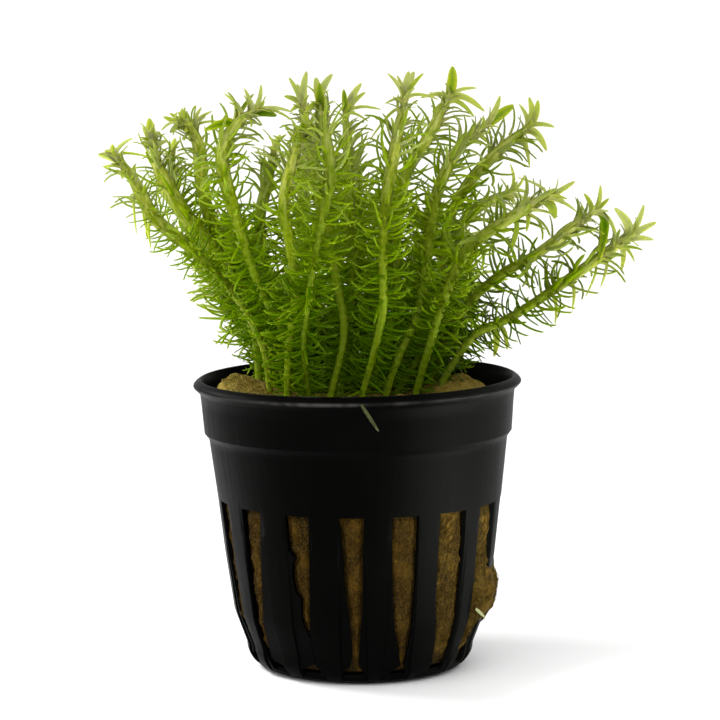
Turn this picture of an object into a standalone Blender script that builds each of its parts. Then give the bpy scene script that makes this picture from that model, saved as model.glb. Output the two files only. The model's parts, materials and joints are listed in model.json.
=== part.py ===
"""Stream bogmoss in its black net pot, held by a plug of rock wool.

The frame is the pot's own: the origin is the centre of the underside, +Z is up and -Y is the front.
Sizes are in millimetres and are turned into metres when a mesh is made.
"""

import math

import bmesh
import bpy
import numpy as np
from mathutils import Vector, noise

MM = 0.001
GAP = 0.35

# Pot, a standard 5.5 cm aquarium net pot
POT_HEIGHT = 50.0
RIM_RADIUS = 27.5
COLLAR_RADIUS = 26.5
COLLAR_FOOT_RADIUS = 26.06
COLLAR_FOOT_HEIGHT = 40.5
BODY_TOP_RADIUS = 25.3
BODY_MIDDLE_RADIUS = 22.96
BODY_MIDDLE_HEIGHT = 20.0
BODY_LOW_RADIUS = 21.46
BODY_LOW_HEIGHT = 10.0
CORNER_RADIUS = 4.4
FOOT_RADIUS = 15.0
WALL = 0.9
POT_SIDES = 32

# Slots between the 16 ribs
SLOT_COUNT = 16
FIRST_SLOT_DEGREES = -93.6
SLOT_TOP_HEIGHT = 29.3
SLOT_TOP_WIDTH = 3.9
SLOT_LOW_WIDTH = 2.6
SLOT_NECK_WIDTH = 1.5
SLOT_NECK_HEIGHT = 3.6
ARCH_WIDTH = 3.6
ARCH_TOP_HEIGHT = 2.9
ARCH_FOOT_HEIGHT = 1.3
OPEN_SLOTS = (2, 3, 4)
OPEN_LOW_WIDTH = 3.3
OPEN_NECK_WIDTH = 2.9
DENTED_SLOT = 15
DENT_STEPS = ((24.5, 0.3), (21.5, 0.5), (18.5, 1.1), (15.0, 0.8), (12.0, 1.2))

# The rib after the fourth slot is bent outwards
BOWED_RIB = 3
BOW_DEPTH = 1.5
BOW_HEIGHT = 17.0
BOW_SPREAD = 8.0
BOW_TOP_HEIGHT = 30.5
BOW_HALF_ANGLE = math.radians(7.0)

# Rock wool
WOOL_FLOOR_GAP = 0.4
DENTED_WOOL_SHARE = 1.1
WOOL_TOP_RADIUS = 24.2
WOOL_TOP_RINGS = (22.6, 17.5, 12.0, 6.0)
WOOL_TOP_HEIGHT = 46.6
WOOL_EDGE_HEIGHT = 45.4
WOOL_LUMPS = (
    # x, y, rise, radius
    (-20.0, -1.5, 4.6, 6.5),
    (17.0, -2.5, 3.2, 6.0),
    (8.0, -13.0, 0.8, 6.0),
    (16.0, 15.0, -3.0, 9.0),
    (-10.0, 18.0, -1.2, 7.0),
)
WOOL_BULGES = {3: 1.5, 4: 2.2, 5: 0.9}
BULGE_HEIGHT = 11.5
SOCKET_SCALE = 2.1
SOCKET_ENDS = (-0.12, 1.4)

# Shoots
STEM_RADIUS = 0.75
STEM_TAPER = 0.35
STEM_FOOT_DEPTH = 2.6
LEAF_REACH = 5.9
LOW_LEAF_SHARE = 0.5
LOW_LEAF_LENGTH = 16.0
LEAF_SCALES = {"far_left": 0.76, "left_tall": 0.86, "left_hook": 0.72, "left_inner": 0.9}
LEAF_RISE = 0.12
TIP_LEAF_REACH = 5.2
TIP_LEAF_RISE = 0.9
ROSETTE_DEPTH = 9.0
BUD_LENGTH = 1.3
BUD_LEAF_SPREAD = 0.5
RING_STEP = 3.9
RING_TURN = math.radians(74.0)
FIRST_LEAF_RISE = 4.5
AXIS_STEP = 1.0
AXIS_CLEARANCE = 2.7
SPREAD_ROUNDS = 60
LEAF_CLEARANCE = 0.30
WOOL_CLEARANCE = 0.8
FOLD_SHARE = 0.65
SHORTEST_LEAF = 0.1
STUNTED_LEAF = 0.03
RIM_GUARD_RADIUS = 24.0
RIM_GUARD_HEIGHT = 50.7

# Each shoot: where it leaves the wool, the bends of its stem and its growing tip
SHOOTS = {
    "far_left": (
        (-15.0, -5.0, 47.5), (-16.0, -7.0, 55.5), (-20.0, -8.0, 63.5), (-27.5, -10.0, 72.0),
        (-33.5, -12.0, 77.5), (-37.0, -12.0, 84.0), (-39.6, -13.0, 87.4),
    ),
    "left_tall": (
        (-17.0, 1.0, 47.0), (-18.0, 2.0, 57.5), (-22.5, 3.0, 68.5), (-29.5, 4.0, 77.0),
        (-33.5, 5.0, 84.0), (-35.0, 5.0, 90.0),
    ),
    "left_inner": (
        (-15.5, 6.0, 46.5), (-16.5, 8.0, 55.5), (-22.5, 10.0, 64.0), (-28.5, 12.0, 72.5),
        (-32.0, 13.0, 80.5), (-32.0, 13.0, 86.5),
    ),
    "left_hook": (
        (-12.5, 1.0, 47.0), (-15.0, 3.0, 56.5), (-20.0, 4.0, 64.0), (-24.5, 5.0, 73.5),
        (-26.5, 6.0, 81.5), (-27.0, 6.0, 88.0), (-28.5, 5.0, 91.5), (-30.5, 3.0, 92.5),
    ),
    "left_arch": (
        (-8.0, -4.5, 47.5), (-11.5, -8.0, 56.0), (-16.5, -12.0, 66.5), (-20.0, -15.0, 78.0),
        (-22.0, -16.0, 86.0), (-21.3, -16.5, 90.5), (-19.3, -17.0, 93.5), (-16.5, -17.5, 95.3),
    ),
    "left_back": (
        (-7.5, 1.2, 47.0), (-11.0, 5.0, 55.0), (-15.5, 9.0, 65.0), (-17.0, 12.0, 74.5),
        (-15.5, 14.0, 82.0), (-14.5, 14.0, 87.0),
    ),
    "front_bent": (
        (-12.0, -8.5, 48.0), (-11.5, -12.0, 56.5), (-10.5, -15.0, 64.0), (-11.0, -17.0, 72.5),
        (-12.0, -18.0, 80.0), (-10.5, -20.0, 87.0), (-8.5, -22.0, 92.5),
    ),
    "top_left": (
        (-4.8, -8.0, 48.0), (-2.5, -9.0, 57.5), (-3.5, -8.0, 66.0), (-5.5, -6.0, 75.0),
        (-7.0, -5.0, 84.0), (-9.0, -4.0, 95.0),
    ),
    "top_front": (
        (-8.3, -9.5, 48.0), (-9.0, -15.0, 56.5), (-8.0, -20.0, 66.0), (-6.0, -24.0, 76.5),
        (-4.5, -26.0, 85.5), (-6.0, -27.0, 97.0),
    ),
    "top_mid": (
        (-3.2, -4.3, 47.5), (-2.0, 0.0, 55.5), (-1.0, 3.0, 65.5), (-1.5, 4.0, 75.5),
        (-1.5, 5.0, 84.0), (-2.0, 6.0, 93.0),
    ),
    "top_right": (
        (0.5, -9.0, 48.0), (2.5, -12.0, 55.0), (4.0, -15.0, 62.5), (4.0, -17.0, 71.5),
        (4.5, -18.0, 80.5), (7.5, -18.0, 96.5),
    ),
    "peak": (
        (1.3, -4.3, 47.5), (4.5, -2.0, 55.0), (6.5, 1.0, 64.0), (6.5, 3.0, 73.0),
        (8.0, 4.0, 83.0), (11.5, 4.0, 89.0), (15.3, 4.0, 96.3),
    ),
    "right_high": (
        (4.6, -7.8, 48.0), (6.5, -9.0, 53.5), (10.0, -9.0, 62.0), (11.5, -8.0, 71.5),
        (13.0, -7.0, 80.5), (16.5, -7.0, 88.0), (21.0, -7.0, 92.0),
    ),
    "right_star": (
        (6.3, -3.8, 47.5), (12.0, -1.0, 56.5), (14.0, 2.0, 65.5), (15.0, 4.0, 74.5),
        (18.5, 5.0, 81.5), (24.0, 6.0, 87.3), (29.0, 6.0, 91.3),
    ),
    "right_pale": (
        (7.5, 1.2, 47.0), (12.5, 6.0, 54.0), (14.5, 11.0, 61.5), (17.0, 16.0, 70.5),
        (20.0, 18.0, 76.0), (27.0, 20.0, 79.5),
    ),
    "right_thick": (
        (9.5, -8.3, 48.0), (12.0, -12.0, 57.0), (14.5, -15.0, 65.5), (18.0, -17.0, 72.5),
        (23.5, -19.0, 77.0), (31.0, -20.0, 81.2),
    ),
    "right_low": (
        (12.0, 0.0, 47.0), (14.5, -2.0, 54.0), (18.0, -4.0, 61.5), (23.5, -5.0, 67.0),
        (29.5, -6.0, 70.5), (39.0, -6.0, 77.5),
    ),
    "far_right": (
        (14.0, -5.3, 47.5), (16.0, -5.0, 52.5), (19.5, -5.0, 57.0), (25.5, -5.0, 60.0),
        (32.5, -5.0, 64.5), (45.6, -4.0, 73.6),
    ),
    "back_a": ((-11.0, 5.8, 46.5), (-14.5, 9.0, 56.0), (-20.0, 13.0, 67.0), (-26.0, 16.0, 76.0)),
    "back_b": ((-9.5, 10.3, 46.0), (-12.0, 14.5, 55.0), (-16.0, 20.0, 63.0), (-19.0, 24.0, 70.0)),
    "back_c": ((-6.0, 6.0, 46.5), (-8.0, 11.0, 57.0), (-9.5, 19.0, 70.0), (-10.0, 26.0, 83.0)),
    "back_d": ((-3.5, 10.8, 46.0), (-4.5, 17.0, 56.0), (-4.0, 26.0, 67.0), (-5.0, 34.0, 79.0)),
    "back_e": ((-1.5, 1.5, 47.0), (-1.0, 7.0, 58.0), (0.5, 14.0, 72.0), (-1.5, 20.0, 86.0)),
    "back_f": ((1.5, 11.0, 46.0), (2.0, 16.0, 56.0), (4.5, 23.0, 67.0), (6.0, 30.0, 79.0)),
    "back_g": ((4.0, 6.0, 46.5), (7.0, 12.0, 56.0), (10.5, 20.0, 66.0), (13.5, 26.0, 75.0)),
    "back_h": ((11.5, 5.5, 46.0), (16.0, 9.0, 54.0), (18.5, 14.0, 63.0), (18.0, 18.0, 72.0)),
    "back_i": ((7.0, 10.3, 45.5), (11.0, 17.0, 52.0), (15.0, 25.0, 57.0), (17.0, 32.0, 62.0)),
    "back_j": ((-14.0, 10.5, 46.0), (-18.0, 10.5, 54.0), (-22.0, 9.5, 61.0), (-25.0, 8.0, 67.0)),
    "back_k": ((-7.0, 14.3, 45.5), (-9.5, 20.0, 53.0), (-12.5, 26.0, 58.0), (-15.0, 31.0, 62.0)),
}

# Shed leaves
POT_LEAF = ((0.6, -26.95, 47.3), (3.2, -26.7, 43.9))
WOOL_LEAF = ((19.35, -12.0, 11.75), (21.0, -10.2, 9.75))
SHED_LEAF_WIDTH = 1.0
SHED_LEAF_THICKNESS = 0.35


def clear_scene():
    for obj in list(bpy.data.objects):
        bpy.data.objects.remove(obj, do_unlink=True)


def make_material(name, colour, roughness):
    material = bpy.data.materials.new(name)
    material.use_nodes = True
    shader = material.node_tree.nodes["Principled BSDF"]
    shader.inputs["Base Color"].default_value = (*colour, 1.0)
    shader.inputs["Roughness"].default_value = roughness
    shader.inputs["Metallic"].default_value = 0.0
    return material


def make_object(name, vertices, faces, material):
    """A mesh object from points in millimetres, its faces turned outwards."""
    mesh = bpy.data.meshes.new(name)
    mesh.from_pydata([tuple(c * MM for c in v) for v in vertices], [], faces)
    mesh.update()
    shape = bmesh.new()
    shape.from_mesh(mesh)
    bmesh.ops.recalc_face_normals(shape, faces=shape.faces)
    shape.to_mesh(mesh)
    shape.free()
    mesh.materials.append(material)
    obj = bpy.data.objects.new(name, mesh)
    bpy.context.scene.collection.objects.link(obj)
    return obj


def lathe(profile, sides, turn):
    """Vertices and faces of an outline of (radius, height) points turned about +Z, with its first and last
    points on the axis."""
    vertices = [(0.0, 0.0, profile[0][1])]
    rings = profile[1:-1]
    for radius, height in rings:
        for i in range(sides):
            angle = turn + 2.0 * math.pi * i / sides
            vertices.append((radius * math.cos(angle), radius * math.sin(angle), height))
    vertices.append((0.0, 0.0, profile[-1][1]))
    last = len(vertices) - 1
    faces = []
    for i in range(sides):
        j = (i + 1) % sides
        faces.append((0, 1 + j, 1 + i))
        for k in range(len(rings) - 1):
            low = 1 + k * sides
            high = low + sides
            faces.append((low + i, low + j, high + j, high + i))
        top = 1 + (len(rings) - 1) * sides
        faces.append((top + i, top + j, last))
    return vertices, faces


def corner_point(radius, degrees):
    """A point of the rounded corner between floor and wall."""
    angle = math.radians(degrees)
    return (
        FOOT_RADIUS + radius * math.sin(angle),
        CORNER_RADIUS - radius * math.cos(angle),
    )


def pot_outer_radius(height):
    heights = (CORNER_RADIUS, BODY_LOW_HEIGHT, BODY_MIDDLE_HEIGHT, COLLAR_FOOT_HEIGHT - 1.0)
    radii = (FOOT_RADIUS + CORNER_RADIUS, BODY_LOW_RADIUS, BODY_MIDDLE_RADIUS, BODY_TOP_RADIUS)
    if height < CORNER_RADIUS:
        return FOOT_RADIUS + math.sqrt(CORNER_RADIUS**2 - (CORNER_RADIUS - height) ** 2)
    return float(np.interp(height, heights, radii))


def pot_profile():
    """The pot's outline from the centre of its underside, up the outside, over the rim and down the inside."""
    outside = [(0.0, 0.0)]
    outside += [corner_point(CORNER_RADIUS, d) for d in (0, 45, 90)]
    outside += [
        (BODY_LOW_RADIUS, BODY_LOW_HEIGHT),
        (BODY_MIDDLE_RADIUS, BODY_MIDDLE_HEIGHT),
        (pot_outer_radius(BOW_TOP_HEIGHT), BOW_TOP_HEIGHT),
        (BODY_TOP_RADIUS, COLLAR_FOOT_HEIGHT - 1.0),
        (COLLAR_FOOT_RADIUS, COLLAR_FOOT_HEIGHT),
        (COLLAR_RADIUS, POT_HEIGHT - 2.6),
    ]
    rim = [
        (RIM_RADIUS - 0.25, POT_HEIGHT - 2.2),
        (RIM_RADIUS, POT_HEIGHT - 1.3),
        (RIM_RADIUS - 0.4, POT_HEIGHT - 0.45),
        (RIM_RADIUS - 1.2, POT_HEIGHT),
    ]
    inside = [
        (COLLAR_RADIUS - WALL, POT_HEIGHT - 2.6),
        (BODY_TOP_RADIUS - WALL, COLLAR_FOOT_HEIGHT - 0.7),
        (pot_outer_radius(BOW_TOP_HEIGHT) - WALL, BOW_TOP_HEIGHT),
        (BODY_MIDDLE_RADIUS - WALL, BODY_MIDDLE_HEIGHT),
        (BODY_LOW_RADIUS - WALL, BODY_LOW_HEIGHT),
    ]
    inside += [corner_point(CORNER_RADIUS - WALL, d) for d in (90, 0)]
    inside.append((0.0, WALL))
    return outside + rim + inside


def slot_angle(slot):
    return math.radians(FIRST_SLOT_DEGREES + 360.0 / SLOT_COUNT * slot)


def slot_half_width(slot, height):
    """Half of the opening's width between two ribs, which the ribs' side flanges narrow towards the foot."""
    wide = slot in OPEN_SLOTS
    low = OPEN_LOW_WIDTH if wide else SLOT_LOW_WIDTH
    neck = OPEN_NECK_WIDTH if wide else SLOT_NECK_WIDTH
    heights = (SLOT_NECK_HEIGHT, 13.0, SLOT_TOP_HEIGHT)
    widths = (neck, low, SLOT_TOP_WIDTH)
    return 0.5 * float(np.interp(height, heights, widths))


def bowed(point):
    """A point of the pot's wall, moved outwards where one rib is bent."""
    x, y, z = point
    radius = math.hypot(x, y)
    rib_angle = slot_angle(BOWED_RIB) + math.pi / SLOT_COUNT
    if radius < 1.0 or abs(math.atan2(y, x) - rib_angle) > BOW_HALF_ANGLE:
        return point
    grown = 1.0 + BOW_DEPTH * math.exp(-(((z - BOW_HEIGHT) / BOW_SPREAD) ** 2)) / radius
    return (x * grown, y * grown, z)


def slot_left_edge(slot, height):
    """The opening's left edge, which on one slot follows the bent rib beside it."""
    edge = -slot_half_width(slot, height)
    if slot == DENTED_SLOT:
        heights = [SLOT_NECK_HEIGHT] + [z for z, _ in reversed(DENT_STEPS)] + [SLOT_TOP_HEIGHT]
        dents = [0.0] + [dent for _, dent in reversed(DENT_STEPS)] + [0.0]
        edge += float(np.interp(height, heights, dents))
    return edge


def slot_outline(slot):
    """The opening seen from outside, as (sideways, height) points: a tapered slot that ends in an arch."""
    heights = (SLOT_TOP_HEIGHT, 13.0, SLOT_NECK_HEIGHT)
    right = [(slot_half_width(slot, z), z) for z in heights]
    arch = [
        (0.5 * ARCH_WIDTH, ARCH_TOP_HEIGHT - 0.4),
        (0.5 * ARCH_WIDTH, ARCH_FOOT_HEIGHT),
        (-0.5 * ARCH_WIDTH, ARCH_FOOT_HEIGHT),
        (-0.5 * ARCH_WIDTH, ARCH_TOP_HEIGHT - 0.4),
    ]
    left = [(-x, z) for x, z in reversed(right)]
    if slot == DENTED_SLOT:
        dents = [(slot_left_edge(slot, z), z) for z, _ in reversed(DENT_STEPS)]
        left = [left[0]] + dents + [left[-1]]
    return right + arch + left


def slot_cutter(slot):
    angle = slot_angle(slot)
    out = Vector((math.cos(angle), math.sin(angle), 0.0))
    side = Vector((-math.sin(angle), math.cos(angle), 0.0))
    outline = slot_outline(slot)
    count = len(outline)
    vertices = []
    for reach in (14.5, 30.0):
        for x, z in outline:
            vertices.append(tuple(out * reach + side * x + Vector((0.0, 0.0, z))))
    faces = [tuple(range(count)), tuple(range(2 * count - 1, count - 1, -1))]
    for i in range(count):
        j = (i + 1) % count
        faces.append((i, i + count, j + count, j))
    cutter = make_object(f"slot_cutter_{slot}", vertices, faces, bpy.data.materials["cutter"])
    cutter.hide_render = True
    cutter.display_type = "WIRE"
    return cutter


def cut(obj, cutter, name):
    modifier = obj.modifiers.new(name, "BOOLEAN")
    modifier.operation = "DIFFERENCE"
    modifier.solver = "EXACT"
    modifier.object = cutter


def join_meshes(name, objects):
    """One helper object that holds every given closed mesh, so that one Boolean cuts them all."""
    shape = bmesh.new()
    for obj in objects:
        shape.from_mesh(obj.data)
        bpy.data.objects.remove(obj, do_unlink=True)
    mesh = bpy.data.meshes.new(name)
    shape.to_mesh(mesh)
    shape.free()
    joined = bpy.data.objects.new(name, mesh)
    bpy.context.scene.collection.objects.link(joined)
    joined.hide_render = True
    joined.display_type = "WIRE"
    return joined


def make_pot():
    """The net pot: a turned cup whose 32 flat sides hold one slot in every second side."""
    turn = slot_angle(0) - math.pi / POT_SIDES
    vertices, faces = lathe(pot_profile(), POT_SIDES, turn)
    material = make_material("black_plastic", (0.018, 0.019, 0.021), 0.38)
    pot = make_object("pot", [bowed(v) for v in vertices], faces, material)
    cutters = join_meshes("slot_cutters", [slot_cutter(slot) for slot in range(SLOT_COUNT)])
    cut(pot, cutters, "slots")
    pot.data.shade_smooth()
    pot.data.set_sharp_from_angle(angle=math.radians(30.0))
    return pot


def side_radius(height, depth):
    """How far out the middle of a flat side of the pot lies at a height, less a depth into the wall."""
    return (pot_outer_radius(height) - depth) * math.cos(math.pi / POT_SIDES)


def wool_top(x, y):
    """The height of the wool's upper surface."""
    radius = math.hypot(x, y)
    edge = min(1.0, max(0.0, (radius - 17.0) / 7.0))
    height = WOOL_TOP_HEIGHT + (WOOL_EDGE_HEIGHT - WOOL_TOP_HEIGHT) * edge * edge
    for lump_x, lump_y, rise, size in WOOL_LUMPS:
        away = math.hypot(x - lump_x, y - lump_y) / size
        height += rise * math.exp(-away * away)
    return height + 0.5 * noise.noise(Vector((x * 0.21, y * 0.21, 3.1)))


def wool_side_ring(height, in_slots):
    """One ring of the plug's side, four points to each slot, pressed out into the slots where in_slots."""
    ring = []
    inner = (pot_outer_radius(height) - WALL - GAP) * math.cos(math.pi / POT_SIDES)
    for slot in range(SLOT_COUNT):
        angle = slot_angle(slot)
        left = slot_left_edge(slot, height)
        right = slot_half_width(slot, height)
        if slot == DENTED_SLOT:
            left = max(left, DENTED_WOOL_SHARE - right)
        swell = 0.0
        if slot in WOOL_BULGES and in_slots:
            away = (height - BULGE_HEIGHT) / 5.5
            swell = WOOL_BULGES[slot] * math.exp(-away * away)
        outer = side_radius(height, 0.35) + swell if in_slots else inner
        corners = (
            (left + 0.1, inner),
            (left + GAP, outer),
            (right - GAP, outer),
            (right - 0.1, inner),
        )
        for sideways, reach in corners:
            x = reach * math.cos(angle) - sideways * math.sin(angle)
            y = reach * math.sin(angle) + sideways * math.cos(angle)
            ring.append((x, y, height))
    return ring


def plain_ring(radius, height_of):
    """A ring of one point to each slot, at a height that a function gives."""
    ring = []
    for slot in range(SLOT_COUNT):
        angle = slot_angle(slot)
        x = radius * math.cos(angle)
        y = radius * math.sin(angle)
        ring.append((x, y, height_of(x, y)))
    return ring


def add_ring(vertices, ring):
    vertices += ring
    return list(range(len(vertices) - len(ring), len(vertices)))


def bridge(lower, upper):
    """Faces between two rings: of equal count, or of one and four points to each slot."""
    faces = []
    if len(lower) == len(upper):
        for i in range(len(lower)):
            j = (i + 1) % len(lower)
            faces.append((lower[i], lower[j], upper[j], upper[i]))
        return faces
    coarse, fine = (lower, upper) if len(lower) < len(upper) else (upper, lower)
    for slot in range(SLOT_COUNT):
        here = coarse[slot]
        there = coarse[(slot + 1) % SLOT_COUNT]
        first = 4 * slot
        run = [fine[(first + k) % len(fine)] for k in range(5)]
        for a, b in zip(run[:-1], run[1:]):
            faces.append((here, b, a))
        faces.append((here, there, run[-1]))
    return faces


def make_wool():
    """The plug of rock wool: closed, clear of the pot, pressed out into the slots."""
    floor = WALL + WOOL_FLOOR_GAP
    rings = [plain_ring(FOOT_RADIUS - 0.6, lambda x, y: floor), wool_side_ring(6.2, False)]
    for height in (7.0, BULGE_HEIGHT, SLOT_TOP_HEIGHT - 0.9):
        rings.append(wool_side_ring(height, True))
    rings.append(wool_side_ring(SLOT_TOP_HEIGHT - 0.3, False))
    rings.append(plain_ring(WOOL_TOP_RADIUS, lambda x, y: wool_top(x, y) - 1.4))
    for radius in WOOL_TOP_RINGS:
        rings.append(plain_ring(radius, wool_top))
    vertices = [(0.0, 0.0, floor), (0.0, 0.0, wool_top(0.0, 0.0))]
    indices = [add_ring(vertices, ring) for ring in rings]
    faces = []
    for lower, upper in zip(indices[:-1], indices[1:]):
        faces += bridge(lower, upper)
    for slot in range(SLOT_COUNT):
        after = (slot + 1) % SLOT_COUNT
        faces.append((0, indices[0][after], indices[0][slot]))
        faces.append((1, indices[-1][slot], indices[-1][after]))
    material = make_material("rock_wool", (0.33, 0.24, 0.09), 0.95)
    return make_object("rock_wool", vertices, faces, material)


def smooth_path(points, step):
    """Even steps along a smooth curve through the points."""
    points = np.array(points, float)
    ends = np.vstack([2 * points[0] - points[1], points, 2 * points[-1] - points[-2]])
    dense = []
    for i in range(1, len(ends) - 2):
        a, b, c, d = ends[i - 1 : i + 3]
        for t in np.linspace(0.0, 1.0, 16, endpoint=False):
            dense.append(
                0.5 * (2 * b + (c - a) * t + (2 * a - 5 * b + 4 * c - d) * t**2 + (3 * b - a - 3 * c + d) * t**3)
            )
    dense.append(points[-1])
    dense = np.array(dense)
    along = np.concatenate([[0.0], np.cumsum(np.linalg.norm(np.diff(dense, axis=0), axis=1))])
    count = max(3, int(round(along[-1] / step)))
    wanted = np.linspace(0.0, along[-1], count + 1)
    return np.stack([np.interp(wanted, along, dense[:, k]) for k in range(3)], axis=1)


def spread_axes(axes):
    """Moves stems that pass too close to each other apart, a little at a time, with their roots held."""
    names = list(axes)
    owner = np.concatenate([np.full(len(axes[n]), i) for i, n in enumerate(names)])
    points = np.concatenate([axes[n] for n in names])
    free = np.concatenate([np.clip((np.arange(len(axes[n])) - 1.0) / 6.0, 0.0, 1.0) for n in names])
    for _ in range(SPREAD_ROUNDS):
        apart = points[:, None, :] - points[None, :, :]
        distance = np.linalg.norm(apart, axis=2)
        distance[owner[:, None] == owner[None, :]] = 1e9
        nearest = distance.argmin(axis=1)
        rows = np.arange(len(points))
        gap = distance[rows, nearest]
        push = np.clip(AXIS_CLEARANCE - gap, 0.0, None) * 0.3
        move = apart[rows, nearest] / np.maximum(gap, 1e-6)[:, None] * push[:, None]
        for i in range(len(names)):
            own = owner == i
            part = move[own]
            for _ in range(3):
                padded = np.vstack([part[:1], part, part[-1:]])
                part = (padded[:-2] + padded[1:-1] + padded[2:]) / 3.0 * 1.15
            move[own] = part
        points = points + move * free[:, None]
    return {n: points[owner == i] for i, n in enumerate(names)}


def frames_along(path):
    """Forward, sideways and upward directions at each point, turned as little as can be."""
    forward = np.gradient(path, axis=0)
    forward /= np.linalg.norm(forward, axis=1)[:, None]
    side = np.cross(forward[0], (0.0, 1.0, 0.0))
    frames = []
    for f in forward:
        side = side - f * np.dot(side, f)
        side /= np.linalg.norm(side)
        frames.append((f, side, np.cross(f, side)))
    return frames


class Neighbours:
    """Says which points of space belong to a shoot: nearer to its stem than to any other."""

    def __init__(self, axes):
        self.names = list(axes)
        self.axes = axes

    def margin(self, name, point):
        own = np.linalg.norm(self.axes[name] - point, axis=1).min()
        other = min(
            np.linalg.norm(self.axes[n] - point, axis=1).min() for n in self.names if n != name
        )
        return other - own

    def allows(self, name, point):
        if self.margin(name, point) < LEAF_CLEARANCE:
            return False
        if math.hypot(point[0], point[1]) > RIM_GUARD_RADIUS and point[2] < RIM_GUARD_HEIGHT:
            return False
        return point[2] > wool_top(point[0], point[1]) + WOOL_CLEARANCE

    def folds_back(self, name, point, length):
        """True where a leaf inside a bend would come back to its own stem."""
        own = np.linalg.norm(self.axes[name] - point, axis=1).min()
        return own < FOLD_SHARE * length


def leaf_tip(neighbours, name, base, towards, at_tip):
    """The end of a leaf that starts at base, drawn in until it stays clear of the next shoots."""
    reach = towards - base
    for share in np.arange(1.0, SHORTEST_LEAF, -0.06):
        samples = [base + reach * share * part for part in (0.35, 0.6, 0.8, 1.0)]
        if not all(neighbours.allows(name, p) for p in samples):
            continue
        if at_tip or not neighbours.folds_back(name, samples[-1], share * np.linalg.norm(reach)):
            return samples[-1]
    return base + reach * STUNTED_LEAF


def shoot_marks(length):
    """Where along a stem its rings lie: one at its foot, one below the leaves, then in even steps."""
    leafy = length - FIRST_LEAF_RISE - BUD_LENGTH
    count = max(3, int(round(leafy / RING_STEP)))
    return [0.0] + [FIRST_LEAF_RISE + leafy * i / count for i in range(count + 1)]


def unit(vector):
    return vector / np.linalg.norm(vector)


def across(vector, forward):
    """The direction of a vector, square to the way forward."""
    return unit(vector - forward * np.dot(vector, forward))


class Shoot:
    """A stem of three sides whose every facet is drawn out into a pointed leaf, in a rising spiral."""

    def __init__(self, name, path, neighbours):
        self.name = name
        self.neighbours = neighbours
        self.path = path
        self.along = np.concatenate([[0.0], np.cumsum(np.linalg.norm(np.diff(path, axis=0), axis=1))])
        self.length = self.along[-1]
        self.frames = frames_along(path)
        self.leaf_scale = LEAF_SCALES.get(name, 1.0)
        self.vertices = []
        self.faces = []

    def centre(self, mark):
        return np.array([np.interp(mark, self.along, self.path[:, c]) for c in range(3)])

    def frame(self, mark):
        return self.frames[int(np.abs(self.along - mark).argmin())]

    def add_ring(self, index, mark):
        forward, side, up = self.frame(mark)
        radius = STEM_RADIUS * (1.0 - STEM_TAPER * mark / self.length)
        ring = []
        for i in range(3):
            angle = max(0, index - 1) * RING_TURN + 2.0 * math.pi * i / 3.0
            ring.append(len(self.vertices))
            spoke = side * math.cos(angle) + up * math.sin(angle)
            self.vertices.append(self.centre(mark) + radius * spoke)
        return ring

    def socket_cutter(self):
        """A wider copy of the stem's foot, drawn on along it, that leaves the gap round it."""
        low = self.centre(0.0)
        rise = self.centre(FIRST_LEAF_RISE) - low
        vertices = []
        for share in SOCKET_ENDS:
            for corner in self.vertices[:3]:
                vertices.append(low + rise * share + (corner - low) * SOCKET_SCALE)
        faces = [(0, 1, 2), (5, 4, 3), (0, 3, 4, 1), (1, 4, 5, 2), (2, 5, 3, 0)]
        return make_object(f"socket_{self.name}", vertices, faces, bpy.data.materials["cutter"])

    def add_leaf(self, corners, root, forward, outward_share, forward_share, reach, at_tip):
        """Draws a facet out into a leaf that points away from a root on the stem's axis."""
        base = sum(self.vertices[v] for v in corners) / 3.0
        outward = across(base - root, forward)
        direction = unit(outward * outward_share + forward * forward_share)
        towards = root + direction * reach
        self.vertices.append(leaf_tip(self.neighbours, self.name, base, towards, at_tip))
        new = len(self.vertices) - 1
        for a, b in ((0, 1), (1, 2), (2, 0)):
            self.faces.append((corners[a], corners[b], new))

    def add_whorl(self, low, high, low_mark, high_mark):
        """Six leaves between two rings, their tips in even steps along the stem."""
        near_tip = max(0.0, 1.0 - (self.length - high_mark) / ROSETTE_DEPTH)
        grown = min(1.0, LOW_LEAF_SHARE + (1.0 - LOW_LEAF_SHARE) * low_mark / LOW_LEAF_LENGTH)
        reach = (LEAF_REACH + (TIP_LEAF_REACH - LEAF_REACH) * near_tip) * self.leaf_scale * grown
        rise = LEAF_RISE + (TIP_LEAF_RISE - LEAF_RISE) * near_tip
        step = high_mark - low_mark
        for i in range(3):
            j = (i + 1) % 3
            facets = (((low[i], low[j], high[i]), 0.25), ((low[j], high[j], high[i]), 0.75))
            for corners, share in facets:
                mark = low_mark + share * step
                forward = self.frame(mark)[0]
                self.add_leaf(corners, self.centre(mark), forward, 1.0, rise, reach, False)

    def add_bud(self, ring):
        """Three leaves round the growing tip, close along the stem."""
        forward = self.frames[-1][0]
        centre = self.centre(self.length - BUD_LENGTH)
        self.vertices.append(centre + forward * BUD_LENGTH)
        bud = len(self.vertices) - 1
        for i in range(3):
            corners = (ring[i], ring[(i + 1) % 3], bud)
            reach = (TIP_LEAF_REACH + BUD_LENGTH) * self.leaf_scale
            self.add_leaf(corners, centre, forward, BUD_LEAF_SPREAD, 1.0, reach, True)

    def build(self, material):
        marks = shoot_marks(self.length)
        rings = [self.add_ring(k, mark) for k, mark in enumerate(marks)]
        self.faces.append(tuple(reversed(rings[0])))
        for i in range(3):
            j = (i + 1) % 3
            self.faces.append((rings[0][i], rings[0][j], rings[1][i]))
            self.faces.append((rings[0][j], rings[1][j], rings[1][i]))
        for k in range(1, len(marks) - 1):
            self.add_whorl(rings[k], rings[k + 1], marks[k], marks[k + 1])
        self.add_bud(rings[-1])
        make_object(f"shoot_{self.name}", self.vertices, self.faces, material)


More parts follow.
